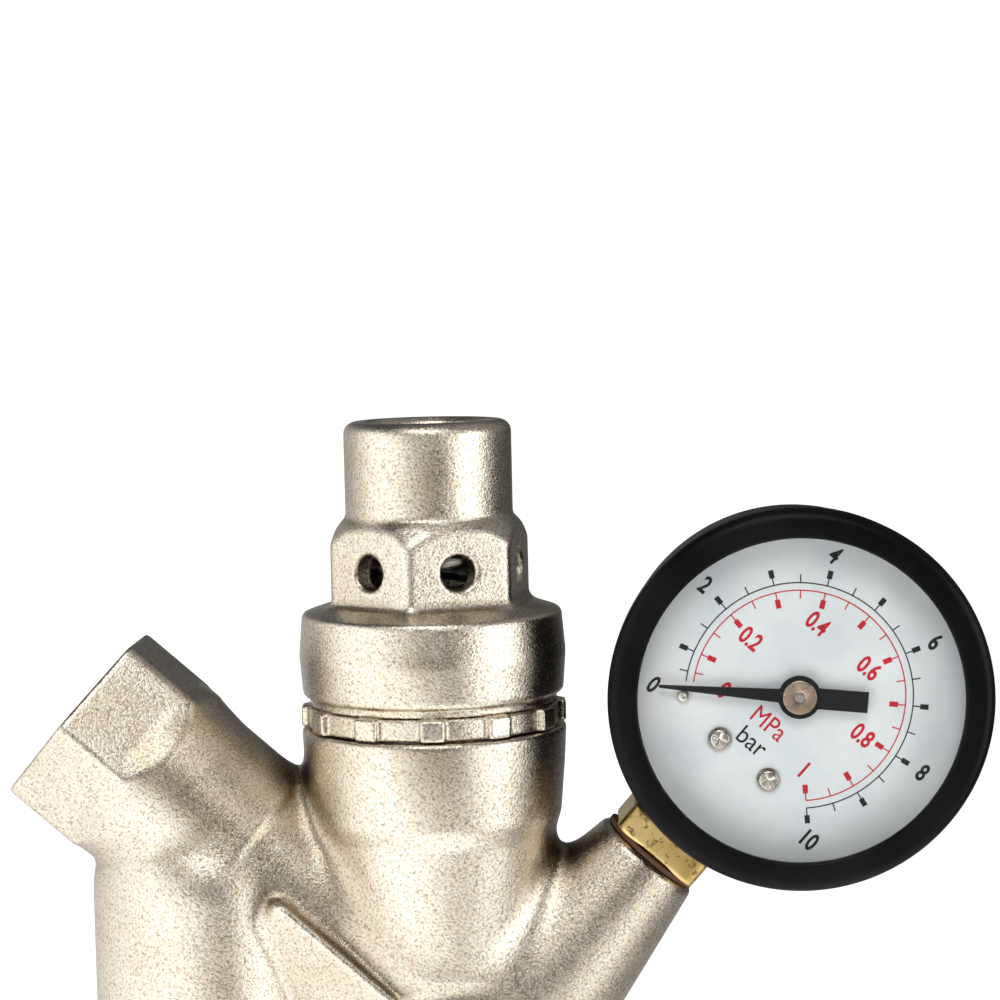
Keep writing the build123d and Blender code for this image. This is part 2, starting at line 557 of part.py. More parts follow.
def make_tube_tip():
    """Closing block soldered on the free end of the tube, with the link it pulls."""
    tip_direction = -12.5
    tip_x, tip_y = polar(TUBE_RADIUS, tip_direction)
    block = Pos(tip_x, tip_y, TUBE_DEPTH) * Rot(0, 0, tip_direction) * Box(2.6, 3.6, 3.0)
    eye_x, eye_y = polar(TUBE_RADIUS, tip_direction - 1.5)
    tail_x, tail_y = sector_tail_end()
    length = math.hypot(tail_x - eye_x, tail_y - eye_y)
    heading = math.degrees(math.atan2(tail_y - eye_y, tail_x - eye_x))
    middle = Pos((eye_x + tail_x) / 2, (eye_y + tail_y) / 2, TUBE_DEPTH + 1.5)
    strap = extrude(SlotCenterToCenter(length, 1.8), 0.5) - Pos(length / 2, 0, -1) * Cylinder(0.4, 4)
    return block + middle * Rot(0, 0, heading) * strap


def sector_pivot():
    return polar(GEAR_MODULE * (PINION_TEETH + SECTOR_FULL_TEETH) / 2, SECTOR_DIRECTION)


def sector_tail_end():
    pivot_x, pivot_y = sector_pivot()
    tail_x, tail_y = polar(SECTOR_TAIL_LENGTH, SECTOR_TAIL_DIRECTION)
    return pivot_x + tail_x, pivot_y + tail_y


def movement_plate(front):
    """Rounded plate with clear holes for the arbor and the sector shaft."""
    back = front - PLATE_THICKNESS
    plate = Pos(1.2, -4.35, back) * extrude(RectangleRounded(20.4, 19.7, 2.0), PLATE_THICKNESS)
    arbor_hole = disc(ARBOR_RADIUS + FIT, back - 1, front + 1)
    shaft_hole = Pos(*sector_pivot(), 0) * disc(SECTOR_SHAFT_RADIUS + FIT, back - 1, front + 1)
    return plate - arbor_hole - shaft_hole


def make_movement_back_plate():
    return movement_plate(0.0)


def make_movement_front_plate():
    """Front plate with the two posts that carry the dial."""
    plate = movement_plate(FRONT_PLATE_DEPTH)
    for x, y in DIAL_SCREWS:
        plate = plate + Pos(x, y, 0) * disc(1.8, FRONT_PLATE_DEPTH, DIAL_BACK)
        plate = plate - Pos(x, y, 0) * disc(0.85, FRONT_PLATE_DEPTH - 2, DIAL_BACK + 1)
    return plate


def make_movement_pillars():
    pillar = disc(1.1, 0, FRONT_PLATE_DEPTH - PLATE_THICKNESS)
    return [Pos(x, y, 0) * pillar for x, y in ((-7.2, -12.4), (-7.2, 3.7), (9.7, 3.7))]


def gear_teeth(angles, pitch_angle, pitch_radius):
    """Corner points of stub teeth centred on the given angles, in order round the axis."""
    root_radius = pitch_radius - 1.2 * GEAR_MODULE
    tip_radius = pitch_radius + 0.8 * GEAR_MODULE
    root_half = 0.27 * pitch_angle
    tip_half = 0.09 * pitch_angle
    points = []
    for angle in angles:
        points.append(polar(root_radius, angle - root_half))
        points.append(polar(tip_radius, angle - tip_half))
        points.append(polar(tip_radius, angle + tip_half))
        points.append(polar(root_radius, angle + root_half))
    return points


def make_sector_gear():
    """Toothed sector on its shaft, with the tail that the link pulls."""
    pitch_angle = 360.0 / SECTOR_FULL_TEETH
    mesh_direction = SECTOR_DIRECTION + 180.0
    angles = [mesh_direction + pitch_angle * (k + 0.5) for k in range(-10, 2)]
    outline = gear_teeth(angles, pitch_angle, GEAR_MODULE * SECTOR_FULL_TEETH / 2)
    outline += [polar(2.0, angles[-1] + 8), polar(2.0, angles[0] - 8)]
    blade = make_face(Polyline(*outline, close=True).edges()) + Circle(2.2)
    tail = Pos(SECTOR_TAIL_LENGTH / 2, 0) * SlotCenterToCenter(SECTOR_TAIL_LENGTH, 2.2)
    tail = Rot(0, 0, SECTOR_TAIL_DIRECTION) * tail
    plate = Pos(0, 0, 2.8) * extrude(blade + tail, 0.8)
    shaft = disc(SECTOR_SHAFT_RADIUS, -0.9, FRONT_PLATE_DEPTH - 0.1)
    return Pos(*sector_pivot(), 0) * (plate + shaft)


def make_pointer_arbor():
    pitch_angle = 360.0 / PINION_TEETH
    angles = [SECTOR_DIRECTION + pitch_angle * k for k in range(PINION_TEETH)]
    outline = gear_teeth(angles, pitch_angle, GEAR_MODULE * PINION_TEETH / 2)
    pinion = Pos(0, 0, 2.3) * extrude(make_face(Polyline(*outline, close=True).edges()), 1.8)
    return pinion + disc(ARBOR_RADIUS, -0.9, POINTER_FRONT + 0.7)


def make_hairspring():
    """Flat spiral from a collet on the arbor out to its anchor."""
    turns = 4.25
    inner_radius = 1.0
    outer_radius = 4.8
    strip = 0.14
    steps = 16 * 4

    def spiral(offset):
        points = []
        for k in range(steps + 1):
            fraction = k / steps
            radius = inner_radius + (outer_radius - inner_radius) * fraction + offset
            points.append(polar(radius, 360 * turns * fraction))
        return points

    outer = Spline(*spiral(strip / 2))
    inner = Spline(*spiral(-strip / 2))
    ends = [Line(outer @ 0, inner @ 0), Line(outer @ 1, inner @ 1)]
    width = 0.5
    return Pos(0, 0, 1.0) * extrude(make_face([outer, inner] + ends), width)


def make_dial():
    dial = ring(DIAL_RADIUS, 1.4, DIAL_BACK, DIAL_FRONT)
    for x, y in DIAL_SCREWS:
        dial = dial - Pos(x, y, 0) * disc(0.95, DIAL_BACK - 1, DIAL_FRONT + 1)
    pin_x, pin_y = STOP_PIN
    return dial - Pos(pin_x, pin_y, 0) * disc(0.5, DIAL_BACK - 1, DIAL_FRONT + 1)


def make_dial_screws():
    """Pan-head screws with crossed recesses."""
    head_radius = 1.75
    head_top = DIAL_FRONT + 0.95
    head = turned([(0, DIAL_FRONT), (head_radius, DIAL_FRONT), (head_radius, DIAL_FRONT + 0.45),
                   (head_radius - 0.65, head_top), (0, head_top)])
    shank = disc(0.8, FRONT_PLATE_DEPTH - 0.8, DIAL_FRONT)
    recess = Pos(0, 0, head_top) * (Box(1.9, 0.42, 0.9) + Box(0.42, 1.9, 0.9))
    screws = []
    for (x, y), turn in zip(DIAL_SCREWS, (20, 65)):
        screws.append(Pos(x, y, 0) * (head + shank - Rot(0, 0, turn) * recess))
    return screws


def make_stop_pin():
    """Riveted pin that the pointer rests against at zero."""
    shank = disc(0.45, DIAL_BACK, DIAL_FRONT)
    rivet = disc(1.05, DIAL_FRONT, DIAL_FRONT + 0.5)
    stem = disc(0.55, DIAL_FRONT, POINTER_FRONT)
    pin_x, pin_y = STOP_PIN
    return Pos(pin_x, pin_y, 0) * (shank + rivet + stem)


def make_pointer():
    """Black pointer: long tapered blade, round hub and a broad square tail."""
    hub = POINTER_HUB_RADIUS
    upper_edge = [(POINTER_LENGTH, 0.16), (hub, 0.8), (0, 1.0)]
    lower_edge = [(x, -y) for x, y in reversed(upper_edge)]
    blade = make_face(Polyline(*upper_edge, *lower_edge, close=True).edges())
    tail_length = POINTER_TAIL_END - hub + 0.1
    tail = Pos(-POINTER_TAIL_END + tail_length / 2, 0) * Rectangle(tail_length, POINTER_TAIL_WIDTH)
    neck = Pos(-hub + 1, 0) * Rectangle(hub, 2.0)
    shape = extrude(blade + tail + neck + Circle(hub), POINTER_FRONT - POINTER_BACK)
    shape = shape - Cylinder(ARBOR_RADIUS, 4)
    return Pos(0, 0, POINTER_BACK) * Rot(0, 0, REST_POINTER_ANGLE) * shape


def make_pointer_disc():
    """Copper-coloured cap pressed on the arbor over the pointer hub."""
    return ring(2.35, ARBOR_RADIUS, POINTER_FRONT, POINTER_FRONT + 0.4)


# ---------------------------------------------------------------- write one file per node
def write(name, shapes):
    """Write a node's solids, checking that each one is a single valid solid."""
    solids = []
    for shape in shapes if isinstance(shapes, list) else [shapes]:
        pieces = shape.solids()
        assert pieces, name
        solids.extend(pieces)
    part = solids[0] if len(solids) == 1 else Compound(children=solids)
    export_step(part, f"parts/{name}.step")
    print(name, len(solids), [round(s.volume, 2) for s in solids], all(s.is_valid for s in solids))


def placed(plane, shapes):
    return [plane * shape for shape in (shapes if isinstance(shapes, list) else [shapes])]


write("body", make_body())
write("bonnet", BONNET * make_bonnet())
write("lock_ring", BONNET * make_lock_ring())
write("bonnet_o_ring", BONNET * o_ring(13.72, 0.88, 30.5))
write("adjusting_screw", BONNET * make_adjusting_screw())
write("spring_seat", BONNET * make_spring_seat())
write("main_spring", BONNET * make_main_spring())
write("piston", BONNET * make_piston())
write("piston_o_ring", BONNET * o_ring(10.12, 0.9, 31.5))
write("stem", BONNET * make_stem())
write("stem_o_ring", BONNET * o_ring(5.32, 0.7, 17.8))
write("piston_nut", BONNET * make_piston_nut())
write("valve_disc", BONNET * make_valve_disc())
write("valve_gasket", BONNET * make_valve_gasket())
write("retaining_nut", BONNET * make_retaining_nut())
write("valve_cage", BONNET * make_valve_cage())
write("cage_o_ring", BONNET * o_ring(8.37, 0.64, 1.4))
write("strainer_screen", STRAINER * make_screen())
write("strainer_cap", STRAINER * make_strainer_cap())
write("strainer_o_ring", STRAINER * o_ring(13.95, 0.68, STRAINER_MOUTH + 0.7))
write("gauge_washer", make_gauge_washer())
write("gauge_socket", make_gauge_socket())
write("gauge_case", DIAL * make_gauge_case())
write("gauge_window", DIAL * make_window())
write("bourdon_tube", DIAL * make_bourdon_tube())
write("tube_tip", DIAL * make_tube_tip())
write("movement_back_plate", DIAL * make_movement_back_plate())
write("movement_front_plate", DIAL * make_movement_front_plate())
write("movement_pillars", placed(DIAL, make_movement_pillars()))
write("sector_gear", DIAL * make_sector_gear())
write("pointer_arbor", DIAL * make_pointer_arbor())
write("hairspring", DIAL * make_hairspring())
write("dial", DIAL * make_dial())
write("dial_screws", placed(DIAL, make_dial_screws()))
write("stop_pin", DIAL * make_stop_pin())
write("pointer", DIAL * make_pointer())
write("pointer_disc", DIAL * make_pointer_disc())
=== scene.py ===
import json
import math

import bmesh
import bpy
import numpy as np
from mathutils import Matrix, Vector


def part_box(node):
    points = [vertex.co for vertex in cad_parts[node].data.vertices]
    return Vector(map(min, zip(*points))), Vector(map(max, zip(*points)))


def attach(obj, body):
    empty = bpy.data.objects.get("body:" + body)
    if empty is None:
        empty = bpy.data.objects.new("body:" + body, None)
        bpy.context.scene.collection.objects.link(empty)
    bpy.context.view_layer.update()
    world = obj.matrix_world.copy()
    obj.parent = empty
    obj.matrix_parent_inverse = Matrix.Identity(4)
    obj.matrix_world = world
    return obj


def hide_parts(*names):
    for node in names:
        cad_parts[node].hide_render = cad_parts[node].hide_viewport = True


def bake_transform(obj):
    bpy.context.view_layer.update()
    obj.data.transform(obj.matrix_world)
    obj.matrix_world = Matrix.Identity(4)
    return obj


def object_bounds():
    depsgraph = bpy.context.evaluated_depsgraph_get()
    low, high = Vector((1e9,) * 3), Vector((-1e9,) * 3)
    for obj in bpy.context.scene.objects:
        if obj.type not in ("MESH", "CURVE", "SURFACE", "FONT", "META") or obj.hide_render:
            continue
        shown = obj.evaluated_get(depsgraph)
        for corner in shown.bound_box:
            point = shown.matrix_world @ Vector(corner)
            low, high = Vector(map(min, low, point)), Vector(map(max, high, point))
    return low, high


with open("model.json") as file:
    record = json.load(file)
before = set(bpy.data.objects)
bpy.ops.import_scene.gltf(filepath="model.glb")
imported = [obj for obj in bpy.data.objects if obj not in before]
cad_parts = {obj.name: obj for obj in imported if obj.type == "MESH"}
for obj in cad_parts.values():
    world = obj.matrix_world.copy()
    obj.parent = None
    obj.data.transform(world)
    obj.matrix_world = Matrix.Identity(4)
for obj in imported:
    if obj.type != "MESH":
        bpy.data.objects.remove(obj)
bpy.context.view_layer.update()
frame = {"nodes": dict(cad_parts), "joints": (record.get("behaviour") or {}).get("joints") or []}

import openvdb
from mathutils import Matrix, Vector

# Looks of a pressure reducing valve: forged and blasted nickel-plated brass, a turned neck, and a dial gauge.
# Sizes are in millimetres unless a name says otherwise, and MM turns them into metres.
MM = 0.001

# ---------------------------------------------------------------- places read from the frame
JOINTS = {joint["name"]: joint for joint in frame["joints"]}
BONNET_UP = Vector(JOINTS["piston_travel"]["axis"]).normalized()
STRAINER_DOWN = Vector(JOINTS["strainer_removal"]["axis"]).normalized()
DIAL_CENTRE = Vector(JOINTS["pointer_turn"]["pos_m"])
SCREW_POINT = Vector(JOINTS["adjusting_screw_turn"]["pos_m"])
BONNET_CROSSING = SCREW_POINT - BONNET_UP * (SCREW_POINT.z / BONNET_UP.z)
BODY_LENGTH = round(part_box("body")[1][0] / MM, 3)
BOSS_FACE_Z = round(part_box("gauge_washer")[0][2] / MM, 3)

# ---------------------------------------------------------------- driving dimensions
PIPE_RADIUS = 13.2
PORT_THREAD_RADIUS = 10.48
PORT_THREAD_LENGTH = 13.0
PORT_THREAD_MINOR = 9.4
PORT_PITCH = 1.814
WATERWAY_RADIUS = 7.5
HEX_FLATS = 27.0
HEX_LENGTH = 13.2
HEX_CORNER_RADIUS = 15.3
STRAINER_CROSSING_X = 23.7
STRAINER_RADIUS = 16.2
STRAINER_DOME_DROP = 10.0
STRAINER_MOUTH = 38.0
STRAINER_BORE_RADIUS = 12.6
CUP_RIM = 42.3
CUP_BORE_RADIUS = 14.65
BOSS_RADIUS = 7.9
BOSS_ROOT_RADIUS = 13.2
BOSS_ROOT_Z = 6.0
GAUGE_RADIUS = 26.5
GAUGE_FRONT = 15.7
GAUGE_BACK = -10.8
WINDOW_OPENING = 22.3
DIAL_FRONT = 10.0
POINTER_BACK = 11.2
POINTER_FRONT = 11.6
POINTER_ZERO = 216.0        # degrees, counter-clockwise from the dial's right
SCALE_START = 224.4         # where a straight scale would begin; one bar is 27 degrees
DEGREES_PER_BAR = 27.0
BONNET_HEX_TURN = -98.5
BONNET_HEX_FLATS = 25.75
BONNET_HEX_TOP = 71.6
BONNET_TOP_RADIUS = 11.85
LOCK_RING_RADIUS = 17.85
LUG_RADIUS = 18.75
VENT_HEIGHT = 65.0
VENT_RADIUS = 2.45
VENT_WALL = 12.9            # from the bonnet axis out to a hexagon flat
SPRING_CHAMBER_TOP = 73.75
CUP_RADIUS = 18.8
SUMP_RADIUS = 12.9
SUMP_DROP = 8.0
LOCK_RING_LOW = 42.6
LOCK_RING_HIGH = 45.6
LUG_COUNT = 12
LUG_WIDTH = 3.4
LUG_EDGE = 0.35
LUG_TURN = -87.0
CAP_HEX_FLATS = 24.0
SOCKET_HALF_SIDE = 6.8
SOCKET_TOP = 42.6
SCREW_CROSS_HALF_WIDTH = 0.21
BLACK_SCALE_RADIUS = 15.7
BLACK_NUMBER_RADIUS = 20.1
RED_SCALE_RADIUS = 14.65
RED_NUMBER_RADIUS = 10.35
NUMBER_HEIGHT = 2.4
WORD_HEIGHT = 2.6
NUMBER_SQUEEZE = 0.74       # width of a printed number against the font's own
NUMBER_WEIGHT = 0.09
FINE_LINE = 0.17
BROAD_LINE = 0.72

# ---------------------------------------------------------------- camera and light
CAMERA_PLACE = (18.00, -403.81, 97.86)
CAMERA_TARGET = (26.46, 0.0, 62.15)
CAMERA_ROLL = 40.35         # degrees
CAMERA_LENS = 103.3
FLOOR_GLOW = 1.15           # how strongly the paper in front of the valve lights it from below
FLOOR_DIM = 0.08
FLOOR_BRIGHTNESS = 0.90     # what the camera itself sees of the floor

VOXEL = 0.4


def local_frame(origin, z_axis, y_axis):
    """Matrix from a local frame in millimetres to the row frame in metres."""
    z = Vector(z_axis).normalized()
    y = Vector(y_axis).normalized()
    x = y.cross(z)
    turn = Matrix((x, y, z)).transposed().to_4x4()
    return Matrix.Translation(origin) @ turn @ Matrix.Scale(MM, 4)


ROW = Matrix.Scale(MM, 4)
PIPE = local_frame((0, 0, 0), (1, 0, 0), (0, 0, 1))
BONNET = local_frame(BONNET_CROSSING, BONNET_UP, (0, 1, 0))
STRAINER = local_frame((STRAINER_CROSSING_X * MM, 0, 0), STRAINER_DOWN, (0, -1, 0))
DIAL = local_frame(DIAL_CENTRE, (0, -1, 0), (0, 0, 1))
STEM = local_frame((DIAL_CENTRE.x, 0, 0), (0, 0, 1), (0, 1, 0))


# ---------------------------------------------------------------- camera, lights, world, floor
def make_camera():
    """Long lens, a little above the pipe, rolled so that the bonnet stands upright in the picture."""
    position = Vector(CAMERA_PLACE) * MM
    target = Vector(CAMERA_TARGET) * MM
    roll = math.radians(CAMERA_ROLL)
    data = bpy.data.cameras.new("camera")
    data.sensor_width = 36.0
    data.lens = CAMERA_LENS
    data.clip_start = 0.01
    data.clip_end = 20.0
    camera = bpy.data.objects.new("camera", data)
    bpy.context.scene.collection.objects.link(camera)
    turn = (target - position).to_track_quat("-Z", "Y").to_matrix()
    camera.matrix_world = Matrix.Translation(position) @ (turn @ Matrix.Rotation(roll, 3, "Z")).to_4x4()
    bpy.context.scene.camera = camera


def area_light(name, position, target, size, power, colour):
    """Rectangular soft box that faces a point."""
    data = bpy.data.lights.new(name, "AREA")
    data.shape = "RECTANGLE"
    data.size, data.size_y = size
    data.energy = power
    data.color = colour
    lamp = bpy.data.objects.new(name, data)
    bpy.context.scene.collection.objects.link(lamp)
    aim = (Vector(target) - Vector(position)).to_track_quat("-Z", "Y")
    lamp.matrix_world = Matrix.Translation(position) @ aim.to_matrix().to_4x4()


def new_object(name, mesh, body, material=None, replaces=()):
    """Links a mesh as a piece that rides on a body, if one is given, and stands for CAD nodes."""
    piece = bpy.data.objects.new(name, mesh)
    bpy.context.scene.collection.objects.link(piece)
    if material is not None:
        mesh.materials.clear()
        mesh.materials.append(material)
    if body is not None:
        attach(piece, body)
    if replaces:
        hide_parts(*replaces)
    return piece


# ---------------------------------------------------------------- node helpers
def node(tree, kind, **inputs):
    """New node with some inputs set; an underscore in a keyword stands for a space."""
    made = tree.nodes.new(kind)
    for key, value in inputs.items():
        made.inputs[key.replace("_", " ")].default_value = value
    return made


def ramp(tree, source, stops):
    """Colour ramp on a value output; stops are (position, colour) pairs."""
    made = tree.nodes.new("ShaderNodeValToRGB")
    elements = made.color_ramp.elements
    while len(elements) < len(stops):
        elements.new(0.5)
    for element, (position, colour) in zip(elements, stops):
        element.position = position
        element.color = (*colour, 1.0)
    tree.links.new(source, made.inputs["Fac"])
    return made.outputs["Color"]


def noise(tree, coordinates, scale, detail, rough):
    """Value output of a noise texture; a scale of 1000 gives grain of about a millimetre."""
    made = node(tree, "ShaderNodeTexNoise", Scale=scale, Detail=detail, Roughness=rough)
    tree.links.new(coordinates, made.inputs["Vector"])
    return made.outputs["Fac"]


def mix_colour(tree, factor, first, second):
    """Blend of two colours; each input is a socket, a number or a colour."""
    made = tree.nodes.new("ShaderNodeMix")
    made.data_type = "RGBA"
    for key, value in (("Factor", factor), ("A", first), ("B", second)):
        socket = made.inputs[key]
        if isinstance(value, bpy.types.NodeSocket):
            tree.links.new(value, socket)
        elif isinstance(value, (int, float)):
            socket.default_value = value
        else:
            socket.default_value = (*value, 1.0)
    return made.outputs["Result"]


def remap(tree, source, low, high, to_low, to_high):
    """Straight-line map of a value from one range to another, clamped at both ends."""
    made = node(tree, "ShaderNodeMapRange")
    for key, value in (("From Min", low), ("From Max", high), ("To Min", to_low), ("To Max", to_high)):
        made.inputs[key].default_value = value
    tree.links.new(source, made.inputs["Value"])
    return made.outputs["Result"]


def start_material(name):
    """New node material, with its tree, its shader and the object coordinates."""
    material = bpy.data.materials.new(name)
    material.use_nodes = True
    tree = material.node_tree
    shader = tree.nodes["Principled BSDF"]
    coordinates = tree.nodes.new("ShaderNodeTexCoord").outputs["Object"]
    return material, tree, shader, coordinates


def bump(tree, height, distance, strength, normal=None):
    """Normal output of a bump node, on top of an earlier one if that is given."""
    made = node(tree, "ShaderNodeBump", Strength=strength, Distance=distance)
    tree.links.new(height, made.inputs["Height"])
    if normal is not None:
        tree.links.new(normal, made.inputs["Normal"])
    return made.outputs["Normal"]


# ---------------------------------------------------------------- materials
def blasted_nickel(name, light, dark, tarnish_and_shade_brown, tarnish_amount=0.35):
    """Nickel plate over blasted brass: fine grain that sparkles, painted shade that darkens recesses and
    creases, and faint brown tarnish.
    """
    material, tree, shader, at = start_material(name)
    grain = noise(tree, at, 5200.0, 2.0, 0.6)
    speck = noise(tree, at, 2700.0, 3.0, 0.65)
    mottle = noise(tree, at, 260.0, 4.0, 0.6)
    patches = noise(tree, at, 55.0, 5.0, 0.65)
    base = ramp(tree, speck, [(0.30, dark), (0.52, light)])
    base = mix_colour(tree, remap(tree, patches, 0.48, 0.72, 0.0, tarnish_amount), base, tarnish_and_shade_brown)
    # Painted shade: the recess attribute (ambient occlusion from the distance field) darkens creases and
    # hollows towards a dark brown.
    recess = tree.nodes.new("ShaderNodeAttribute")
    recess.attribute_name = "recess"
    painted_shade_amount = remap(tree, recess.outputs["Fac"], 0.25, 0.95, 0.0, 0.85)
    painted_shade_brown = [channel * 0.42 for channel in tarnish_and_shade_brown]
    base = mix_colour(tree, painted_shade_amount, base, painted_shade_brown)
    tree.links.new(base, shader.inputs["Base Color"])
    shader.inputs["Metallic"].default_value = 1.0
    rough = tree.nodes.new("ShaderNodeMath")
    rough.operation = "ADD"
    tree.links.new(remap(tree, grain, 0.3, 0.7, 0.15, 0.29), rough.inputs[0])
    tree.links.new(remap(tree, mottle, 0.3, 0.7, -0.03, 0.07), rough.inputs[1])
    tree.links.new(rough.outputs[0], shader.inputs["Roughness"])
    coarse = bump(tree, mottle, 0.00010, 0.30)
    medium = bump(tree, speck, 0.00009, 0.80, coarse)
    fine = bump(tree, grain, 0.00004, 1.0, medium)
    tree.links.new(fine, shader.inputs["Normal"])
    return material


def turned_metal(name, light, dark, rough, spots=None):
    """Machined metal with faint tool marks and small spots."""
    material, tree, shader, at = start_material(name)
    streak = noise(tree, at, 900.0, 3.0, 0.6)
    broad = noise(tree, at, 120.0, 3.0, 0.6)
    base = ramp(tree, broad, [(0.30, dark), (0.70, light)])
    if spots is not None:
        fleck = noise(tree, at, 1100.0, 2.0, 0.5)
        base = mix_colour(tree, remap(tree, fleck, 0.60, 0.70, 0.0, 0.9), base, spots)
    tree.links.new(base, shader.inputs["Base Color"])
    shader.inputs["Metallic"].default_value = 1.0
    tree.links.new(remap(tree, streak, 0.3, 0.7, rough - 0.06, rough + 0.08), shader.inputs["Roughness"])
    tree.links.new(bump(tree, streak, 0.00003, 0.35), shader.inputs["Normal"])
    return material


def moulded(name, colour, rough, texture_scale, texture_depth, gloss=0.3):
    """Paint, rubber or plastic: near-even colour with a fine surface texture."""
    material, tree, shader, at = start_material(name)
    fine = noise(tree, at, texture_scale, 3.0, 0.6)
    broad = noise(tree, at, 90.0, 3.0, 0.5)
    paler = [min(1.0, channel * 1.25 + 0.004) for channel in colour]
    tree.links.new(ramp(tree, broad, [(0.35, colour), (0.70, paler)]), shader.inputs["Base Color"])
    tree.links.new(remap(tree, fine, 0.3, 0.7, rough - 0.05, rough + 0.06), shader.inputs["Roughness"])
    tree.links.new(bump(tree, fine, texture_depth, 0.5), shader.inputs["Normal"])
    shader.inputs["Specular IOR Level"].default_value = gloss
    return material


def clear_window(name):
    """Thin clear plastic window: a see-through sheet with a gloss that grows towards its edge."""
    material = bpy.data.materials.new(name)
    material.use_nodes = True
    tree = material.node_tree
    tree.nodes.remove(tree.nodes["Principled BSDF"])
    at = tree.nodes.new("ShaderNodeTexCoord").outputs["Object"]
    clear = node(tree, "ShaderNodeBsdfTransparent", Color=(0.99, 1.0, 1.0, 1.0))
    gloss = node(tree, "ShaderNodeBsdfAnisotropic", Color=(1.0, 1.0, 1.0, 1.0))
    haze = noise(tree, at, 40.0, 2.0, 0.5)
    tree.links.new(remap(tree, haze, 0.3, 0.7, 0.04, 0.10), gloss.inputs["Roughness"])
    fresnel = node(tree, "ShaderNodeFresnel", IOR=1.18)
    mixed = tree.nodes.new("ShaderNodeMixShader")
    tree.links.new(fresnel.outputs["Fac"], mixed.inputs["Fac"])
    tree.links.new(clear.outputs["BSDF"], mixed.inputs[1])
    tree.links.new(gloss.outputs["BSDF"], mixed.inputs[2])
    tree.links.new(mixed.outputs["Shader"], tree.nodes["Material Output"].inputs["Surface"])
    return material


NICKEL = blasted_nickel("blasted_nickel", (0.80, 0.73, 0.62), (0.30, 0.25, 0.17), (0.42, 0.30, 0.14))
NICKEL_TURNED = turned_metal("turned_nickel", (0.78, 0.72, 0.62), (0.52, 0.46, 0.36), 0.22)
BRASS = turned_metal("golden_brass", (0.80, 0.60, 0.26), (0.52, 0.36, 0.12), 0.30, (0.20, 0.12, 0.04))
STAINLESS = turned_metal("stainless", (0.70, 0.70, 0.69), (0.50, 0.50, 0.49), 0.28)
SPRING_STEEL = turned_metal("spring_steel", (0.50, 0.49, 0.47), (0.28, 0.27, 0.25), 0.30)
SCREW_STEEL = turned_metal("screw_steel", (0.86, 0.82, 0.76), (0.62, 0.56, 0.48), 0.22)
COPPER = turned_metal("copper_cap", (0.80, 0.60, 0.46), (0.55, 0.38, 0.26), 0.26, (0.42, 0.26, 0.16))
CASE_BLACK = moulded("case_black", (0.002, 0.002, 0.0022), 0.36, 1600.0, 0.00001, 0.10)
POINTER_BLACK = moulded("pointer_black", (0.008, 0.008, 0.009), 0.36, 2400.0, 0.000006)
RUBBER = moulded("seal_rubber", (0.02, 0.02, 0.02), 0.62, 2200.0, 0.00001)
FIBRE = moulded("washer_fibre", (0.10, 0.045, 0.025), 0.70, 2600.0, 0.00002)
DIAL_WHITE = moulded("dial_white", (0.84, 0.87, 0.90), 0.42, 2800.0, 0.000003)
INK_BLACK = moulded("ink_black", (0.02, 0.02, 0.022), 0.45, 2600.0, 0.000002)
INK_RED = moulded("ink_red", (0.62, 0.015, 0.03), 0.45, 2600.0, 0.000002)
WINDOW = clear_window("window_clear")


# ---------------------------------------------------------------- signed distance shapes (negative inside)
def smooth_min(a, b, blend):
    """Union of two distance fields with a fillet in the crease."""
    share = np.clip(0.5 + 0.5 * (b - a) / blend, 0.0, 1.0)
    return b + (a - b) * share - blend * share * (1.0 - share)


def smooth_max(a, b, blend):
    """Intersection of two distance fields with a rounded edge."""
    return -smooth_min(-a, -b, blend)


def rod(radial, axial, radius, low, high, edge=0.3):
    """Capped cylinder with rounded rims, from distances to its axis and heights along it."""
    side = radial - (radius - edge)
    end = np.abs(axial - (low + high) / 2) - ((high - low) / 2 - edge)
    outside = np.hypot(np.maximum(side, 0), np.maximum(end, 0))
    return np.minimum(np.maximum(side, end), 0) + outside - edge


def hexagon_field(x, y, flats, turn_degrees, edge=0.5):
    """Infinite hexagonal prism with a corner in the direction turn_degrees."""
    field = None
    for k in range(3):
        angle = math.radians(turn_degrees + 30 + 60 * k)
        pair = np.abs(x * math.cos(angle) + y * math.sin(angle)) - flats / 2
        field = pair if field is None else smooth_max(field, pair, edge)
    return field


def rounded(outline, arc_step=12.0):
    """Points of a closed outline whose corners (x, y, radius) are turned into arcs."""
    points = []
    count = len(outline)
    for i in range(count):
        corner = outline[i]
        here = np.array(corner[:2], float)
        radius = corner[2] if len(corner) > 2 else 0.0
        if radius <= 0:
            points.append(tuple(here))
            continue
        before = np.array(outline[i - 1][:2], float) - here
        after = np.array(outline[(i + 1) % count][:2], float) - here
        before /= np.linalg.norm(before)
        after /= np.linalg.norm(after)
        half = math.acos(float(np.clip(before @ after, -1, 1))) / 2
        centre = here + (before + after) / np.linalg.norm(before + after) * radius / math.sin(half)
        start = here + before * radius / math.tan(half) - centre
        end = here + after * radius / math.tan(half) - centre
        first = math.atan2(start[1], start[0])
        sweep = (math.atan2(end[1], end[0]) - first + math.pi) % (2 * math.pi) - math.pi
        steps = max(2, int(abs(math.degrees(sweep)) / arc_step) + 1)
        for k in range(steps + 1):
            angle = first + sweep * k / steps
            points.append((centre[0] + radius * math.cos(angle), centre[1] + radius * math.sin(angle)))
    return points


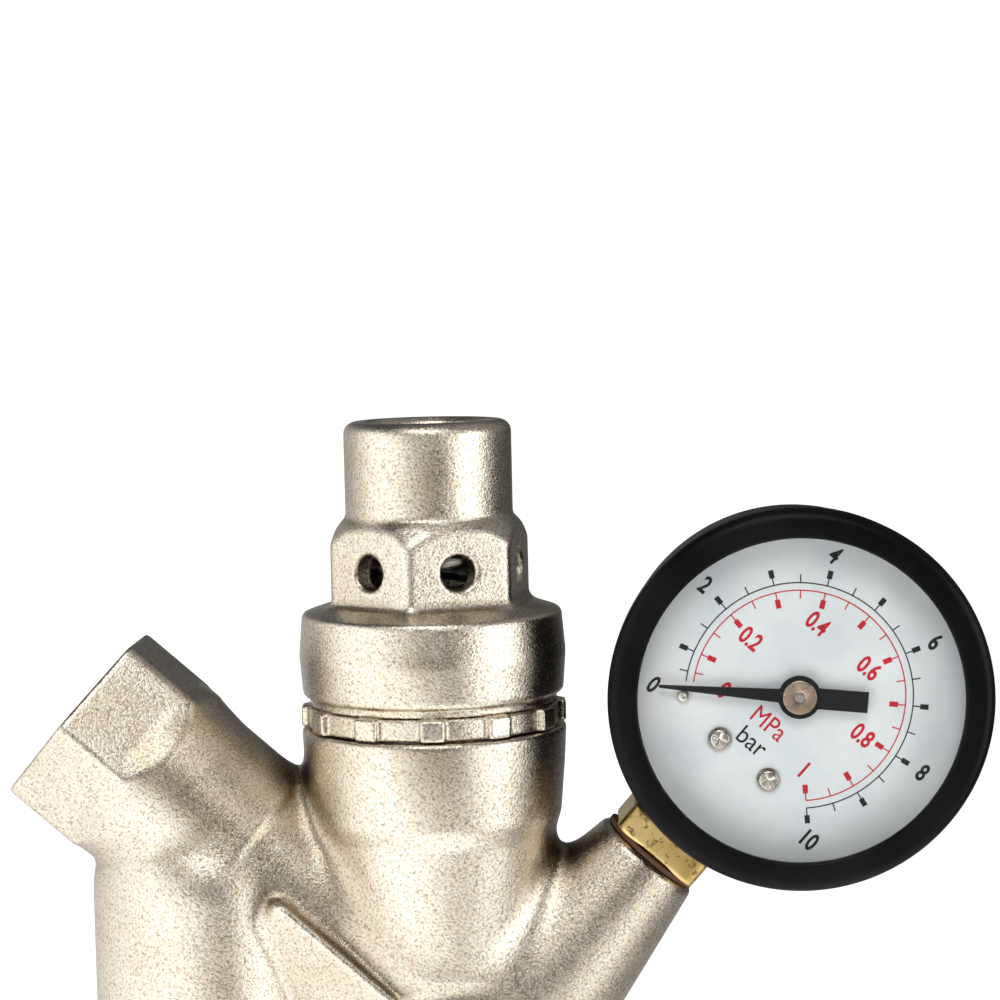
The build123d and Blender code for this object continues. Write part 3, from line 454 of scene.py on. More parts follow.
class Lathe:
    """Distance field of a solid of revolution, looked up in a table of its half section."""

    def __init__(self, outline, cell=0.1, margin=4.0):
        points = np.array(rounded(outline))
        self.low = points.min(0) - margin
        self.cell = cell
        self.shape = np.ceil((points.max(0) + margin - self.low) / cell).astype(int) + 1
        radii = self.low[0] + cell * np.arange(self.shape[0])[:, None]
        heights = self.low[1] + cell * np.arange(self.shape[1])[None, :]
        best = np.full(self.shape, 1e9)
        inside = np.zeros(self.shape, bool)
        for (x0, y0), (x1, y1) in zip(points, np.roll(points, -1, 0)):
            on_axis = abs(x0) < 1e-9 and abs(x1) < 1e-9
            dx, dy = x1 - x0, y1 - y0
            share = np.clip(((radii - x0) * dx + (heights - y0) * dy) / max(dx * dx + dy * dy, 1e-12), 0, 1)
            if not on_axis:
                best = np.minimum(best, (radii - x0 - share * dx) ** 2 + (heights - y0 - share * dy) ** 2)
            crosses = (heights >= min(y0, y1)) & (heights < max(y0, y1))
            if abs(dy) > 1e-12:
                inside ^= crosses & (np.abs(radii) < x0 + (heights - y0) / dy * dx)
        self.table = (np.sqrt(best) * np.where(inside, -1.0, 1.0)).astype(np.float32)

    def __call__(self, radial, axial):
        u = np.clip((radial - self.low[0]) / self.cell, 0, self.shape[0] - 1.001)
        v = np.clip((axial - self.low[1]) / self.cell, 0, self.shape[1] - 1.001)
        i, j = u.astype(np.int32), v.astype(np.int32)
        fu, fv = u - i, v - j
        table = self.table
        near = table[i, j] * (1 - fu) + table[i + 1, j] * fu
        far = table[i, j + 1] * (1 - fu) + table[i + 1, j + 1] * fu
        return near * (1 - fv) + far * fv


def mesh_from_field(name, field, low, high, step, placing, recess_reach):
    """Mesh of a field's zero surface. Its recess attribute says how closed in each point is; the nickel
    material turns it into painted shade in creases.
    """
    low = np.array(low, float)
    counts = np.ceil((np.array(high, float) - low) / step).astype(int) + 1
    axes = [(low[a] + step * np.arange(counts[a])).astype(np.float32) for a in range(3)]
    x, y, z = axes[0][:, None, None], axes[1][None, :, None], axes[2][None, None, :]
    values = np.ascontiguousarray(np.broadcast_to(field(x, y, z), counts), np.float32)
    grid = openvdb.FloatGrid(3 * step)
    grid.copyFromArray(np.clip(values, -3 * step, 3 * step))
    points, triangles, quads = grid.convertToPolygons(isovalue=0.0, adaptivity=0.0)
    mesh = bpy.data.meshes.new(name)
    matrix = np.array(placing)
    world = (points * step + low) @ matrix[:3, :3].T + matrix[:3, 3]
    faces = [tuple(face[::-1]) for face in quads.tolist() + triangles.tolist()]
    mesh.from_pydata(world.tolist(), [], faces)
    mesh.update()
    mesh.attributes.new("recess", "FLOAT", "POINT")
    closed = recess_of(values, points, recess_reach, step)
    mesh.attributes["recess"].data.foreach_set("value", closed.astype(np.float32))
    mesh.shade_smooth()
    return mesh


def sample(values, at):
    """Trilinear reading of a grid at points in cells."""
    top = np.array(values.shape) - 1.001
    at = np.clip(at, 0, top)
    base = at.astype(int)
    part = at - base
    total = 0.0
    for corner in range(8):
        offset = np.array([(corner >> a) & 1 for a in range(3)])
        weight = np.prod(np.where(offset, part, 1 - part), axis=1)
        i, j, k = (base + offset).T
        total = total + weight * values[i, j, k]
    return total


def recess_of(values, points, reach, step):
    """How closed in each point is: 0 on open surfaces, rising to 1 in creases. This ambient occlusion drives
    painted shade.
    """
    slopes = [sample(values, points + way) - sample(values, points - way) for way in np.eye(3)]
    slope = np.stack(slopes, axis=1)
    normal = slope / np.maximum(np.linalg.norm(slope, axis=1, keepdims=True), 1e-9)
    on_surface = sample(values, points)
    closed = 0.0
    for share in (0.35, 0.7, 1.0):
        outside = sample(values, points + normal * reach * share / step)
        closed = closed + np.clip(1.0 - (outside - on_surface) / (reach * share), 0, 1) / 3
    return np.clip(closed * 1.6, 0, 1)


# ---------------------------------------------------------------- castings
def around_axis(x, y, z):
    """Distance from the local z axis and height along it, both over the whole grid."""
    return np.hypot(x, y) + 0 * z, z + 0 * x + 0 * y


def port_field(pipe_x, radial, across_y, across_z):
    """Hexagon and tapered neck of one port; pipe_x is the distance behind that port's face."""
    prism = hexagon_field(across_y, across_z, HEX_FLATS, 0.0, 0.7)
    turned_down = Lathe([(0, 0), (HEX_CORNER_RADIUS - 0.2, 0, 0.3), (HEX_CORNER_RADIUS + 0.2, 0.6, 0.3),
                         (HEX_CORNER_RADIUS + 0.2, HEX_LENGTH - 1.2, 1.2),
                         (HEX_CORNER_RADIUS - 1.6, HEX_LENGTH + 0.4, 0.6), (0, HEX_LENGTH + 0.4)])
    block = smooth_max(prism, turned_down(radial, pipe_x), 0.5)
    neck = Lathe([(0, HEX_LENGTH - 2), (13.6, HEX_LENGTH - 2), (14.3, HEX_LENGTH + 1.0, 1.0),
                  (PIPE_RADIUS, 19.5, 4.0), (PIPE_RADIUS, 30.0), (0, 30.0)])
    return smooth_min(block, neck(radial, pipe_x), 1.6)


def body_field(x, y, z):
    """The whole casting: filleted outside less its bores."""
    radial = np.hypot(y, z) + 0 * x
    tilt = math.atan2(-BONNET_UP.x, BONNET_UP.z)
    cos_t, sin_t = math.cos(tilt), math.sin(tilt)

    def leaning(crossing_x):
        """Distance from, and height along, a leaning axis that crosses the pipe at crossing_x."""
        across = (x - crossing_x) * cos_t + z * sin_t
        along = z * cos_t - (x - crossing_x) * sin_t
        return np.hypot(across, y), along + 0 * y

    bonnet_r, height = leaning(BONNET_CROSSING.x / MM)
    leg_r, rise = leaning(STRAINER_CROSSING_X)
    drop = -rise
    stem_r = np.hypot(x - DIAL_CENTRE.x / MM, y) + 0 * z
    stem_z = z + 0 * x + 0 * y
    pipe_x = x + 0 * y + 0 * z

    pipe = radial - PIPE_RADIUS
    pipe = np.maximum(pipe, np.maximum(14.0 - pipe_x, pipe_x - (BODY_LENGTH - 14.0)))
    cup = Lathe([(0, -SUMP_DROP), (SUMP_RADIUS, -SUMP_DROP, 2), (SUMP_RADIUS, 6.4, 1.5), (14.35, 8.4, 1.2),
                 (16.95, 27.2, 1.5), (17.85, 29.8, 1.2), (18.5, 37.0, 2.5), (CUP_RADIUS, CUP_RIM, 0.5),
                 (0, CUP_RIM)])
    cup = cup(bonnet_r, height)
    sump = np.hypot(bonnet_r, height + SUMP_DROP) - SUMP_RADIUS
    leg = rod(leg_r, drop, STRAINER_RADIUS, STRAINER_DOME_DROP, STRAINER_MOUTH, 0.5)
    dome = np.hypot(leg_r, drop - STRAINER_DOME_DROP) - STRAINER_RADIUS
    leg = np.minimum(leg, dome)
    boss = Lathe([(0, BOSS_ROOT_Z), (BOSS_ROOT_RADIUS, BOSS_ROOT_Z), (BOSS_RADIUS, BOSS_FACE_Z, 1.3),
                  (0, BOSS_FACE_Z)])
    boss = boss(stem_r, stem_z)
    outer = smooth_min(pipe, smooth_min(cup, sump, 1.0), 4.5)
    outer = smooth_min(outer, leg, 1.3)
    outer = smooth_min(outer, boss, 5.0)
    outer = smooth_min(outer, pad_field(x, y, z), 1.3)
    inlet = port_field(pipe_x, radial, y + 0 * x, z + 0 * x)
    outlet = port_field(BODY_LENGTH - pipe_x, radial, y + 0 * x, z + 0 * x)
    outer = smooth_min(outer, np.minimum(inlet, outlet), 1.8)
    return np.maximum(outer, -bores_field(pipe_x, radial, bonnet_r, height, leg_r, drop, stem_r, stem_z))


def pad_field(x, y, z):
    """Raised wedge between the strainer leg and the cup, on both flanks."""
    reach, top = 16.0, 1.2
    side = np.abs(y)
    lower = (side - reach) * math.cos(math.radians(30)) - (z - top + 0.6) * math.sin(math.radians(30))
    wedge = smooth_max(lower, z - top + 0.10 * (side - reach), 0.8)
    wedge = smooth_max(wedge, side - reach, 0.5)
    wedge = smooth_max(wedge, 37.8 - x, 2.5)
    return np.maximum(np.maximum(wedge, x - 60.0), -10.0 - z)


def bores_field(pipe_x, radial, bonnet_r, height, leg_r, drop, stem_r, stem_z):
    """Everything drilled out of the casting."""
    mouth = Lathe([(0, -3), (PORT_THREAD_RADIUS + 3.7, -3), (PORT_THREAD_RADIUS, 0.7),
                   (PORT_THREAD_RADIUS, PORT_THREAD_LENGTH), (WATERWAY_RADIUS, PORT_THREAD_LENGTH + 1.5),
                   (0, PORT_THREAD_LENGTH + 1.5)])
    cut = np.minimum(mouth(radial, pipe_x), mouth(radial, BODY_LENGTH - pipe_x))
    cut = np.minimum(cut, np.hypot(radial, pipe_x - STRAINER_CROSSING_X) - WATERWAY_RADIUS)
    drillings = [
        (radial, pipe_x, WATERWAY_RADIUS, 13, STRAINER_CROSSING_X),
        (leg_r, drop, WATERWAY_RADIUS, 0, 9),
        (leg_r, drop, 9.5, 5, 9),
        (leg_r, drop, STRAINER_BORE_RADIUS, 8, STRAINER_MOUTH + 3),
        (radial, pipe_x, WATERWAY_RADIUS, 36, 56),
        (bonnet_r, height, CUP_BORE_RADIUS, 23.2, CUP_RIM + 3),
        (bonnet_r, height, 12.2, 3.5, 24.5),
        (bonnet_r, height, 9.05, -2, 4.5),
        (bonnet_r, height, 9.5, -14, -1),
        (radial, pipe_x, WATERWAY_RADIUS, 78, BODY_LENGTH - 12),
        (stem_r, stem_z, 6.55, BOSS_FACE_Z - 11.6, BOSS_FACE_Z + 3),
        (stem_r, stem_z, 1.6, -2, BOSS_FACE_Z - 10),
    ]
    for distance, along, radius, low, high in drillings:
        cut = np.minimum(cut, rod(distance, along, radius, low, high, 0.1))
    return cut


def bonnet_field(x, y, z):
    """Bonnet in its own frame: skirt, neck, collar, vented hexagon and top cylinder."""
    radial, height = around_axis(x, y, z)
    collar = Lathe([(0, 27), (14.6, 27, 0.4), (14.6, 45.7), (17.5, 45.7), (17.5, 46.9), (18.45, 46.9, 0.85),
                    (18.9, 52.7, 6.0), (18.4, 58.6, 0.8), (14.6, 59.85, 0.5), (0, 59.85)])
    collar = collar(radial, height)
    prism = hexagon_field(x + 0 * z, y + 0 * z, BONNET_HEX_FLATS, BONNET_HEX_TURN, 0.7)
    slope = (prism + BONNET_HEX_FLATS / 2 - BONNET_TOP_RADIUS - 0.3) * 0.71 + (height - BONNET_HEX_TOP) * 0.71
    crown = Lathe([(0, 55), (15.2, 55), (14.9, 68.6, 1.6), (12.5, 71.8, 1.0), (0, 71.8)])
    prism = smooth_max(smooth_max(prism, crown(radial, height), 0.6), slope, 0.5)
    top = Lathe([(0, 60), (BONNET_TOP_RADIUS, 60), (BONNET_TOP_RADIUS, 85.6, 1.7), (0, 85.6)])
    outer = smooth_min(smooth_min(collar, prism, 1.3), top(radial, height), 1.0)
    bore = Lathe([(0, 24), (11.05, 24), (11.05, 44), (10, 45), (10, SPRING_CHAMBER_TOP),
                  (8.0, SPRING_CHAMBER_TOP), (8.0, 84.8), (8.8, 85.6), (10.8, 87.6), (0, 87.6)])
    outer = np.maximum(outer, -bore(radial, height))
    outer = np.maximum(outer, -(np.maximum(np.abs(height - 30.5) - 1.1, 12.75 - radial)))
    for k in range(6):
        angle = math.radians(BONNET_HEX_TURN + 30 + 60 * k)
        along = x * math.cos(angle) + y * math.sin(angle)
        across = np.hypot(y * math.cos(angle) - x * math.sin(angle) + 0 * z, height - VENT_HEIGHT)
        vent = np.maximum(across - VENT_RADIUS, -along)
        countersink = np.maximum(across - VENT_RADIUS - (along - 12.5), -along)
        outer = smooth_max(outer, -vent, 0.25)
        outer = np.maximum(outer, -np.maximum(countersink, np.abs(along - VENT_WALL) - 0.6))
    return outer


def lock_ring_field(x, y, z):
    """Jam ring with rounded lugs around it."""
    radial, height = around_axis(x, y, z)
    band = rod(radial, height, LOCK_RING_RADIUS, LOCK_RING_LOW, LOCK_RING_HIGH, 0.3)
    sector = math.radians(360 / LUG_COUNT)
    angle = np.arctan2(y, x) - math.radians(LUG_TURN)
    angle = (angle + sector / 2) % sector - sector / 2
    middle, half_height = (LOCK_RING_LOW + LOCK_RING_HIGH) / 2, (LOCK_RING_HIGH - LOCK_RING_LOW) / 2
    across = np.abs(radial * np.sin(angle)) - (LUG_WIDTH / 2 - LUG_EDGE)
    reach = radial * np.cos(angle) - (LUG_RADIUS - LUG_EDGE)
    end = np.abs(height - middle) - (half_height - LUG_EDGE)
    outside = np.sqrt(np.maximum(across, 0) ** 2 + np.maximum(reach, 0) ** 2 + np.maximum(end, 0) ** 2)
    lugs = np.minimum(np.maximum(np.maximum(across, reach), end), 0) + outside - LUG_EDGE
    return np.maximum(smooth_min(band, lugs, 0.6), CUP_BORE_RADIUS - radial)


def cap_field(x, y, z):
    """Strainer cap: threaded plug, flange and hexagon."""
    radial, height = around_axis(x, y, z)
    flange = STRAINER_MOUTH + 0.5
    plug = Lathe([(0, 28), (11.6, 28, 0.4), (11.6, flange + 0.4), (15.6, flange, 0.4),
                  (15.6, flange + 2.6, 0.5), (13.4, flange + 3.4, 0.4), (0, flange + 3.4)])
    prism = hexagon_field(x + 0 * z, y + 0 * z, CAP_HEX_FLATS, 30.0, 0.6)
    crown = Lathe([(0, flange), (14.2, flange), (13.7, flange + 9.4, 1.2), (12.2, flange + 11, 0.5),
                   (0, flange + 11)])
    prism = smooth_max(prism, crown(radial, height), 0.6)
    outer = smooth_min(plug(radial, height), prism, 0.9)
    return np.maximum(outer, -rod(radial, height, 9.5, 25, STRAINER_MOUTH - 4, 0.1))


def socket_field(x, y, z):
    """Brass gauge stem with its wrench square, in the stem's frame."""
    radial, height = around_axis(x, y, z)
    bottom, top = BOSS_FACE_Z + 0.6, SOCKET_TOP
    edge = 0.45
    parts = [np.abs(x) - (SOCKET_HALF_SIDE - edge), np.abs(y) - (SOCKET_HALF_SIDE - edge),
             np.abs(height - (bottom + top) / 2) - ((top - bottom) / 2 - edge)]
    outside = np.sqrt(sum(np.maximum(part, 0) ** 2 for part in parts))
    inside = np.minimum(np.maximum(np.maximum(parts[0], parts[1]) + 0 * z, parts[2]), 0)
    square = inside + outside - edge
    square = smooth_max(square, radial - 8.9, 0.5)
    neck = rod(radial, height, 6.0, 42.0, 46.5, 0.2)
    thread = rod(radial, height, 6.5, BOSS_FACE_Z - 10.2, bottom + 0.5, 0.4)
    block = np.maximum(np.maximum(np.abs(x) - 6.0, np.abs(y - 4.25) - 3.25), np.abs(height - 53.1) - 7.9)
    return np.minimum(np.minimum(square, neck), np.minimum(thread, block))


def screw_field(x, y, z):
    """Pan head with a cross recess, seated on z = 0."""
    radial, height = around_axis(x, y, z)
    head = Lathe([(0, -0.2), (1.75, -0.2), (1.75, 0.35, 0.15), (1.25, 0.92, 0.35), (0, 0.98)], 0.02, 1.0)
    floor_of_cross = 0.35 + radial * 0.30 - z
    slot_a = np.maximum(np.abs(x) - SCREW_CROSS_HALF_WIDTH, radial - 1.0)
    slot_b = np.maximum(np.abs(y) - SCREW_CROSS_HALF_WIDTH, radial - 1.0)
    return smooth_max(head(radial, height), -np.maximum(np.minimum(slot_a, slot_b), floor_of_cross), 0.08)


# ---------------------------------------------------------------- turned, swept and printed meshes
def placed(bm, name, placing):
    """Turns a bmesh in a local frame into a mesh in the row frame."""
    mesh = bpy.data.meshes.new(name)
    bm.to_mesh(mesh)
    bm.free()
    mesh.transform(placing)
    return mesh


def finished(bm, name, placing, sharp_degrees=35.0):
    """The same with its seams welded, its faces turned outwards and its smooth parts shaded smooth."""
    bmesh.ops.remove_doubles(bm, verts=bm.verts, dist=0.0005)
    bmesh.ops.recalc_face_normals(bm, faces=bm.faces)
    mesh = placed(bm, name, placing)
    mesh.shade_smooth()
    mesh.set_sharp_from_angle(angle=math.radians(sharp_degrees))
    return mesh


def revolve(name, outline, placing, segments=144):
    """Surface of revolution about local z from a closed (radius, height, fillet) outline."""
    bm = bmesh.new()
    profile = rounded(outline, 15.0)
    rings = []
    for k in range(segments):
        angle = 2 * math.pi * k / segments
        rings.append([bm.verts.new((r * math.cos(angle), r * math.sin(angle), h)) for r, h in profile])
    for k in range(segments):
        here, there = rings[k], rings[(k + 1) % segments]
        for i in range(len(profile)):
            j = (i + 1) % len(profile)
            if profile[i][0] > 1e-6 or profile[j][0] > 1e-6:
                bm.faces.new((here[i], here[j], there[j], there[i]))
    return finished(bm, name, placing)


def sweep(name, path, section, placing):
    """Closed tube through (point, outward, along, scale) frames; section holds (outward, along) offsets."""
    bm = bmesh.new()
    rings = []
    for point, outward, along, scale in path:
        rings.append([bm.verts.new(point + outward * a * scale + along * b * scale) for a, b in section])
    for here, there in zip(rings, rings[1:]):
        for i in range(len(section)):
            j = (i + 1) % len(section)
            bm.faces.new((here[i], here[j], there[j], there[i]))
    bm.faces.new(rings[0])
    bm.faces.new(rings[-1])
    return finished(bm, name, placing, 50.0)


def helix(radius, start, end, pitch):
    """Frames along a helix about local z, shrinking to almost nothing at both ends."""
    steps_per_turn, fade_turns = 72, 0.4
    turns = (end - start) / pitch
    steps = int(turns * steps_per_turn)
    frames = []
    for k in range(steps + 1):
        turn = turns * k / steps
        angle = 2 * math.pi * turn
        outward = Vector((math.cos(angle), math.sin(angle), 0))
        point = outward * radius + Vector((0, 0, start + pitch * turn))
        edge = min(turn, turns - turn) / fade_turns
        frames.append((point, outward, Vector((0, 0, 1)), max(0.02, min(1.0, edge))))
    return frames


def print_marks(name, plates, placing, low, high):
    """Thin raised print: each plate is a list of (x, y) corners."""
    bm = bmesh.new()
    for corners in plates:
        bottom = [bm.verts.new((x, y, low)) for x, y in corners]
        top = [bm.verts.new((x, y, high)) for x, y in corners]
        bm.faces.new(bottom[::-1])
        bm.faces.new(top)
        for i in range(len(corners)):
            j = (i + 1) % len(corners)
            bm.faces.new((bottom[i], bottom[j], top[j], top[i]))
    return placed(bm, name, placing)


def bar_angle(bar):
    """Direction of a pressure on the dial, in degrees counter-clockwise from its right."""
    return POINTER_ZERO if bar == 0 else SCALE_START - DEGREES_PER_BAR * bar


def tick(angle_degrees, inner, outer, width):
    """Corners of a short radial bar."""
    angle = math.radians(angle_degrees)
    along = Vector((math.cos(angle), math.sin(angle)))
    across = Vector((-along.y, along.x)) * width / 2
    return [tuple(along * inner - across), tuple(along * outer - across), tuple(along * outer + across),
            tuple(along * inner + across)]


def arc_plates(radius, width, start, end, step=3.0):
    """Short pieces that make up a printed arc."""
    count = int(abs(end - start) / step) + 1
    plates = []
    for k in range(count):
        a = math.radians(start + (end - start) * k / count)
        b = math.radians(start + (end - start) * (k + 1) / count)
        low, high = radius - width / 2, radius + width / 2
        plates.append([(low * math.cos(a), low * math.sin(a)), (low * math.cos(b), low * math.sin(b)),
                       (high * math.cos(b), high * math.sin(b)), (high * math.cos(a), high * math.sin(a))])
    return plates


def text_mesh(name, words, placing, low):
    """Printed words; each is (text, x, y, height, squeeze, weight)."""
    bm = bmesh.new()
    for text, x, y, height, squeeze, weight in words:
        curve = bpy.data.curves.new(name, "FONT")
        curve.body = text
        curve.align_x = "CENTER"
        curve.align_y = "CENTER"
        curve.size = height / 0.70
        curve.offset = weight
        curve.resolution_u = 6
        curve.extrude = 0.012
        flat = bpy.data.objects.new(name, curve)
        bpy.context.scene.collection.objects.link(flat)
        mesh = bpy.data.meshes.new_from_object(flat.evaluated_get(bpy.context.evaluated_depsgraph_get()))
        bpy.data.objects.remove(flat)
        middle = (min(v.co.y for v in mesh.vertices) + max(v.co.y for v in mesh.vertices)) / 2
        narrowed = Matrix.Diagonal((squeeze, 1, 1, 1)) @ Matrix.Translation((0, -middle, 0))
        mesh.transform(Matrix.Translation((x, y, low)) @ narrowed)
        bm.from_mesh(mesh)
    return placed(bm, name, placing)


def add_castings():
    """Casting, bonnet, lock ring, strainer cap and gauge socket, each meshed from its field."""
    ring_box = (-19.4, -19.4, 41.9), (19.4, 19.4, 46.3)
    skins = [
        ("body", body_field, (-1, -20, -42), (BODY_LENGTH + 1, 20, 46), VOXEL, ROW, 4.0, "housing"),
        ("bonnet", bonnet_field, (-20, -20, 26), (20, 20, 87), VOXEL * 0.8, BONNET, 2.2, "housing"),
        ("lock_ring", lock_ring_field, *ring_box, VOXEL * 0.6, BONNET, 1.4, "housing"),
        ("strainer_cap", cap_field, (-17, -17, 27), (17, 17, 50.5), VOXEL * 0.8, STRAINER, 2.2, "strainer"),
    ]
    for stands_for, field, low, high, step, placing, reach, rides_on in skins:
        name = stands_for + "_skin"
        mesh = mesh_from_field(name, field, low, high, step, placing, reach)
        new_object(name, mesh, rides_on, NICKEL, [stands_for])
    name = "gauge_socket_skin"
    socket = mesh_from_field(name, socket_field, (-9.8, -9.8, 26.5), (9.8, 9.8, 62), VOXEL * 0.6, STEM, 1.0)
    new_object(name, socket, "housing", BRASS, ["gauge_socket"])


def add_threads():
    """Thread ridges in both ports and on the strainer cap."""
    depth = PORT_THREAD_RADIUS - PORT_THREAD_MINOR
    half = PORT_PITCH * 0.40
    inward = [(0.05, -half), (-depth, -0.12), (-depth, 0.12), (0.05, half)]
    for name, placing in (("inlet_thread", PIPE), ("outlet_thread", mirrored_port())):
        path = helix(PORT_THREAD_RADIUS, 1.6, PORT_THREAD_LENGTH - 0.6, PORT_PITCH)
        new_object(name, sweep(name, path, inward, placing), "housing", NICKEL_TURNED)
    crest = [(-1.0, -0.62), (0.0, -0.10), (0.0, 0.10), (-1.0, 0.62)]
    path = helix(12.54, 29.0, STRAINER_MOUTH - 0.6, 1.5)
    new_object("strainer_cap_thread", sweep("strainer_cap_thread", path, crest, STRAINER), "strainer",
               NICKEL_TURNED)


def mirrored_port():
    """Frame of the outlet, looking back into it."""
    return local_frame((BODY_LENGTH * MM, 0, 0), (-1, 0, 0), (0, 0, 1))


def add_gauge():
    """Case, window, dial print, pointer, screws and pin."""
    rim = GAUGE_RADIUS
    outline = [(0, GAUGE_BACK), (24.9, GAUGE_BACK, 2.4), (25.7, 8.8), (rim - 0.3, 8.8, 0.25),
               (rim, GAUGE_FRONT, 1.7), (WINDOW_OPENING, GAUGE_FRONT, 0.45), (WINDOW_OPENING, 14.7),
               (24.9, 14.7), (24.9, 9.0), (24.0, -9.7), (0, -9.7)]
    case = revolve("gauge_case_skin", outline, DIAL, 192)
    new_object("gauge_case_skin", case, "housing", CASE_BLACK, ["gauge_case"])
    window = revolve("window_pane", [(0, 13.25), (24.7, 13.25), (24.7, 14.6), (0, 14.6)], DIAL)
    new_object("window_pane", window, "housing", WINDOW, ["gauge_window"])
    add_dial_print()
    pin_spot = DIAL @ Matrix.Translation((-12.1, -10.3, 0))
    pin = revolve("stop_pin_head", [(0, 10.0), (1.05, 10.0), (1.05, 10.35, 0.15), (0.75, 10.75, 0.2),
                                    (0.32, 10.8, 0.05), (0.24, 10.5, 0.05), (0, 10.5)], pin_spot, 48)
    new_object("stop_pin_head", pin, "housing", SCREW_STEEL, ["stop_pin"])
    for side, turn, name in ((-1, 20, "dial_screw_left"), (1, 65, "dial_screw_right")):
        spot = DIAL @ Matrix.Translation((4.4 * side, -11.65, DIAL_FRONT))
        spot = spot @ Matrix.Rotation(math.radians(turn), 4, "Z")
        head = mesh_from_field(name, screw_field, (-2, -2, -0.3), (2, 2, 1.2), 0.05, spot, 0.45)
        new_object(name, head, "housing", SCREW_STEEL, ["dial_screws"] if side == 1 else ())
    add_pointer()


def add_dial_print():
    """Two scales, their numbers and the two unit words."""
    black = arc_plates(BLACK_SCALE_RADIUS, FINE_LINE, POINTER_ZERO - 3, bar_angle(10))
    red = arc_plates(RED_SCALE_RADIUS, FINE_LINE, POINTER_ZERO - 3, bar_angle(10))
    for bar in range(1, 11):
        angle = bar_angle(bar)
        black += [tick(angle, BLACK_SCALE_RADIUS, 16.75, FINE_LINE), tick(angle, 16.7, 17.85, BROAD_LINE)]
        red += [tick(angle, 13.6, RED_SCALE_RADIUS, FINE_LINE), tick(angle, 12.45, 13.65, BROAD_LINE)]
        half = (angle + bar_angle(bar - 1)) / 2 if bar > 1 else angle + DEGREES_PER_BAR / 2 - 3
        black.append(tick(half, BLACK_SCALE_RADIUS, 16.85, FINE_LINE))
        red.append(tick(half, 13.5, RED_SCALE_RADIUS, FINE_LINE))
    low, high = DIAL_FRONT + 0.005, DIAL_FRONT + 0.03
    dark = [("bar", -0.8, -9.0, WORD_HEIGHT, 0.92, 0.0)]
    bright = [("MPa", -0.65, -5.6, WORD_HEIGHT, 0.86, 0.0)]
    for bar in range(0, 11, 2):
        angle = math.radians(bar_angle(bar))
        tenths = "0" if bar == 0 else "1" if bar == 10 else "0." + str(bar)
        scales = (dark, str(bar), BLACK_NUMBER_RADIUS), (bright, tenths, RED_NUMBER_RADIUS)
        for words, text, radius in scales:
            place = radius * math.cos(angle), radius * math.sin(angle)
            words.append((text, *place, NUMBER_HEIGHT, NUMBER_SQUEEZE, NUMBER_WEIGHT))
    prints = [
        ("scale_black", print_marks("scale_black", black, DIAL, low, high), INK_BLACK),
        ("scale_red", print_marks("scale_red", red, DIAL, low, high), INK_RED),
        ("numbers_black", text_mesh("numbers_black", dark, DIAL, low + 0.013), INK_BLACK),
        ("numbers_red", text_mesh("numbers_red", bright, DIAL, low + 0.013), INK_RED),
    ]
    for name, mesh, ink in prints:
        new_object(name, mesh, "housing", ink)


def add_pointer():
    """Tapered black pointer with a square tail, and its copper cap."""
    turn = DIAL @ Matrix.Rotation(math.radians(POINTER_ZERO), 4, "Z")
    bm = bmesh.new()
    hub = 3.0
    points = [(-9.4, -1.45), (-hub * 0.86, -1.45)]
    for k in range(1, 15):
        angle = math.radians(208 + (332 - 208) * k / 15)
        points.append((hub * math.cos(angle), hub * math.sin(angle)))
    points += [(hub * 0.95, -0.95), (19.4, -0.2), (19.4, 0.2)]
    upper = [(x, -y) for x, y in reversed(points[:-1])]
    points += upper[1:]
    outline = [bm.verts.new((x, y, POINTER_BACK)) for x, y in points]
    face = bm.faces.new(outline)
    raised = bmesh.ops.extrude_face_region(bm, geom=[face])
    moved = [item for item in raised["geom"] if isinstance(item, bmesh.types.BMVert)]
    bmesh.ops.translate(bm, verts=moved, vec=(0, 0, POINTER_FRONT - POINTER_BACK))
    blade = finished(bm, "pointer_blade", turn)
    piece = new_object("pointer_blade", blade, "pointer_group", POINTER_BLACK, ["pointer"])
    edge = piece.modifiers.new("edge", "BEVEL")
    edge.width = 0.00006
    edge.segments = 2
    cap = revolve("pointer_cap", [(0, 11.6), (2.35, 11.6), (2.35, 11.98, 0.12), (0.95, 11.92, 0.1),
                                  (0.62, 11.86), (0, 11.86)], DIAL, 64)
    new_object("pointer_cap", cap, "pointer_group", COPPER, ["pointer_disc"])
    pin = revolve("pointer_pin", [(0, 11.7), (0.5, 11.7), (0.5, 12.28, 0.1), (0.2, 12.3, 0.05), (0.14, 12.2),
                                  (0, 12.2)], DIAL, 32)
    new_object("pointer_pin", pin, "pointer_group", BRASS)


def add_spring():
    """Main spring: round wire with closed ends, stretched between the housing and the spring seat."""
    radius, wire, low, high = 7.9, 1.3, 34.0, 70.0
    turns, ends = 6.5, 0.9
    frames = []
    steps = int((turns + 2 * ends) * 60)
    for k in range(steps + 1):
        turn = (turns + 2 * ends) * k / steps
        share = min(max((turn - ends) / turns, 0.0), 1.0)
        soft = share * share * (3 - 2 * share) * 0.25 + share * 0.75
        lift = low + wire + (high - low - 2 * wire) * soft
        angle = 2 * math.pi * turn
        outward = Vector((math.cos(angle), math.sin(angle), 0))
        frames.append((outward * radius + Vector((0, 0, lift)), outward, Vector((0, 0, 1)), 1.0))
    around = [math.radians(degrees) for degrees in range(0, 360, 24)]
    section = [(wire * math.cos(a), wire * math.sin(a)) for a in around]
    coil = new_object("spring_coil", sweep("spring_coil", frames, section, BONNET), None,
                      SPRING_STEEL, ["main_spring"])
    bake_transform(coil)


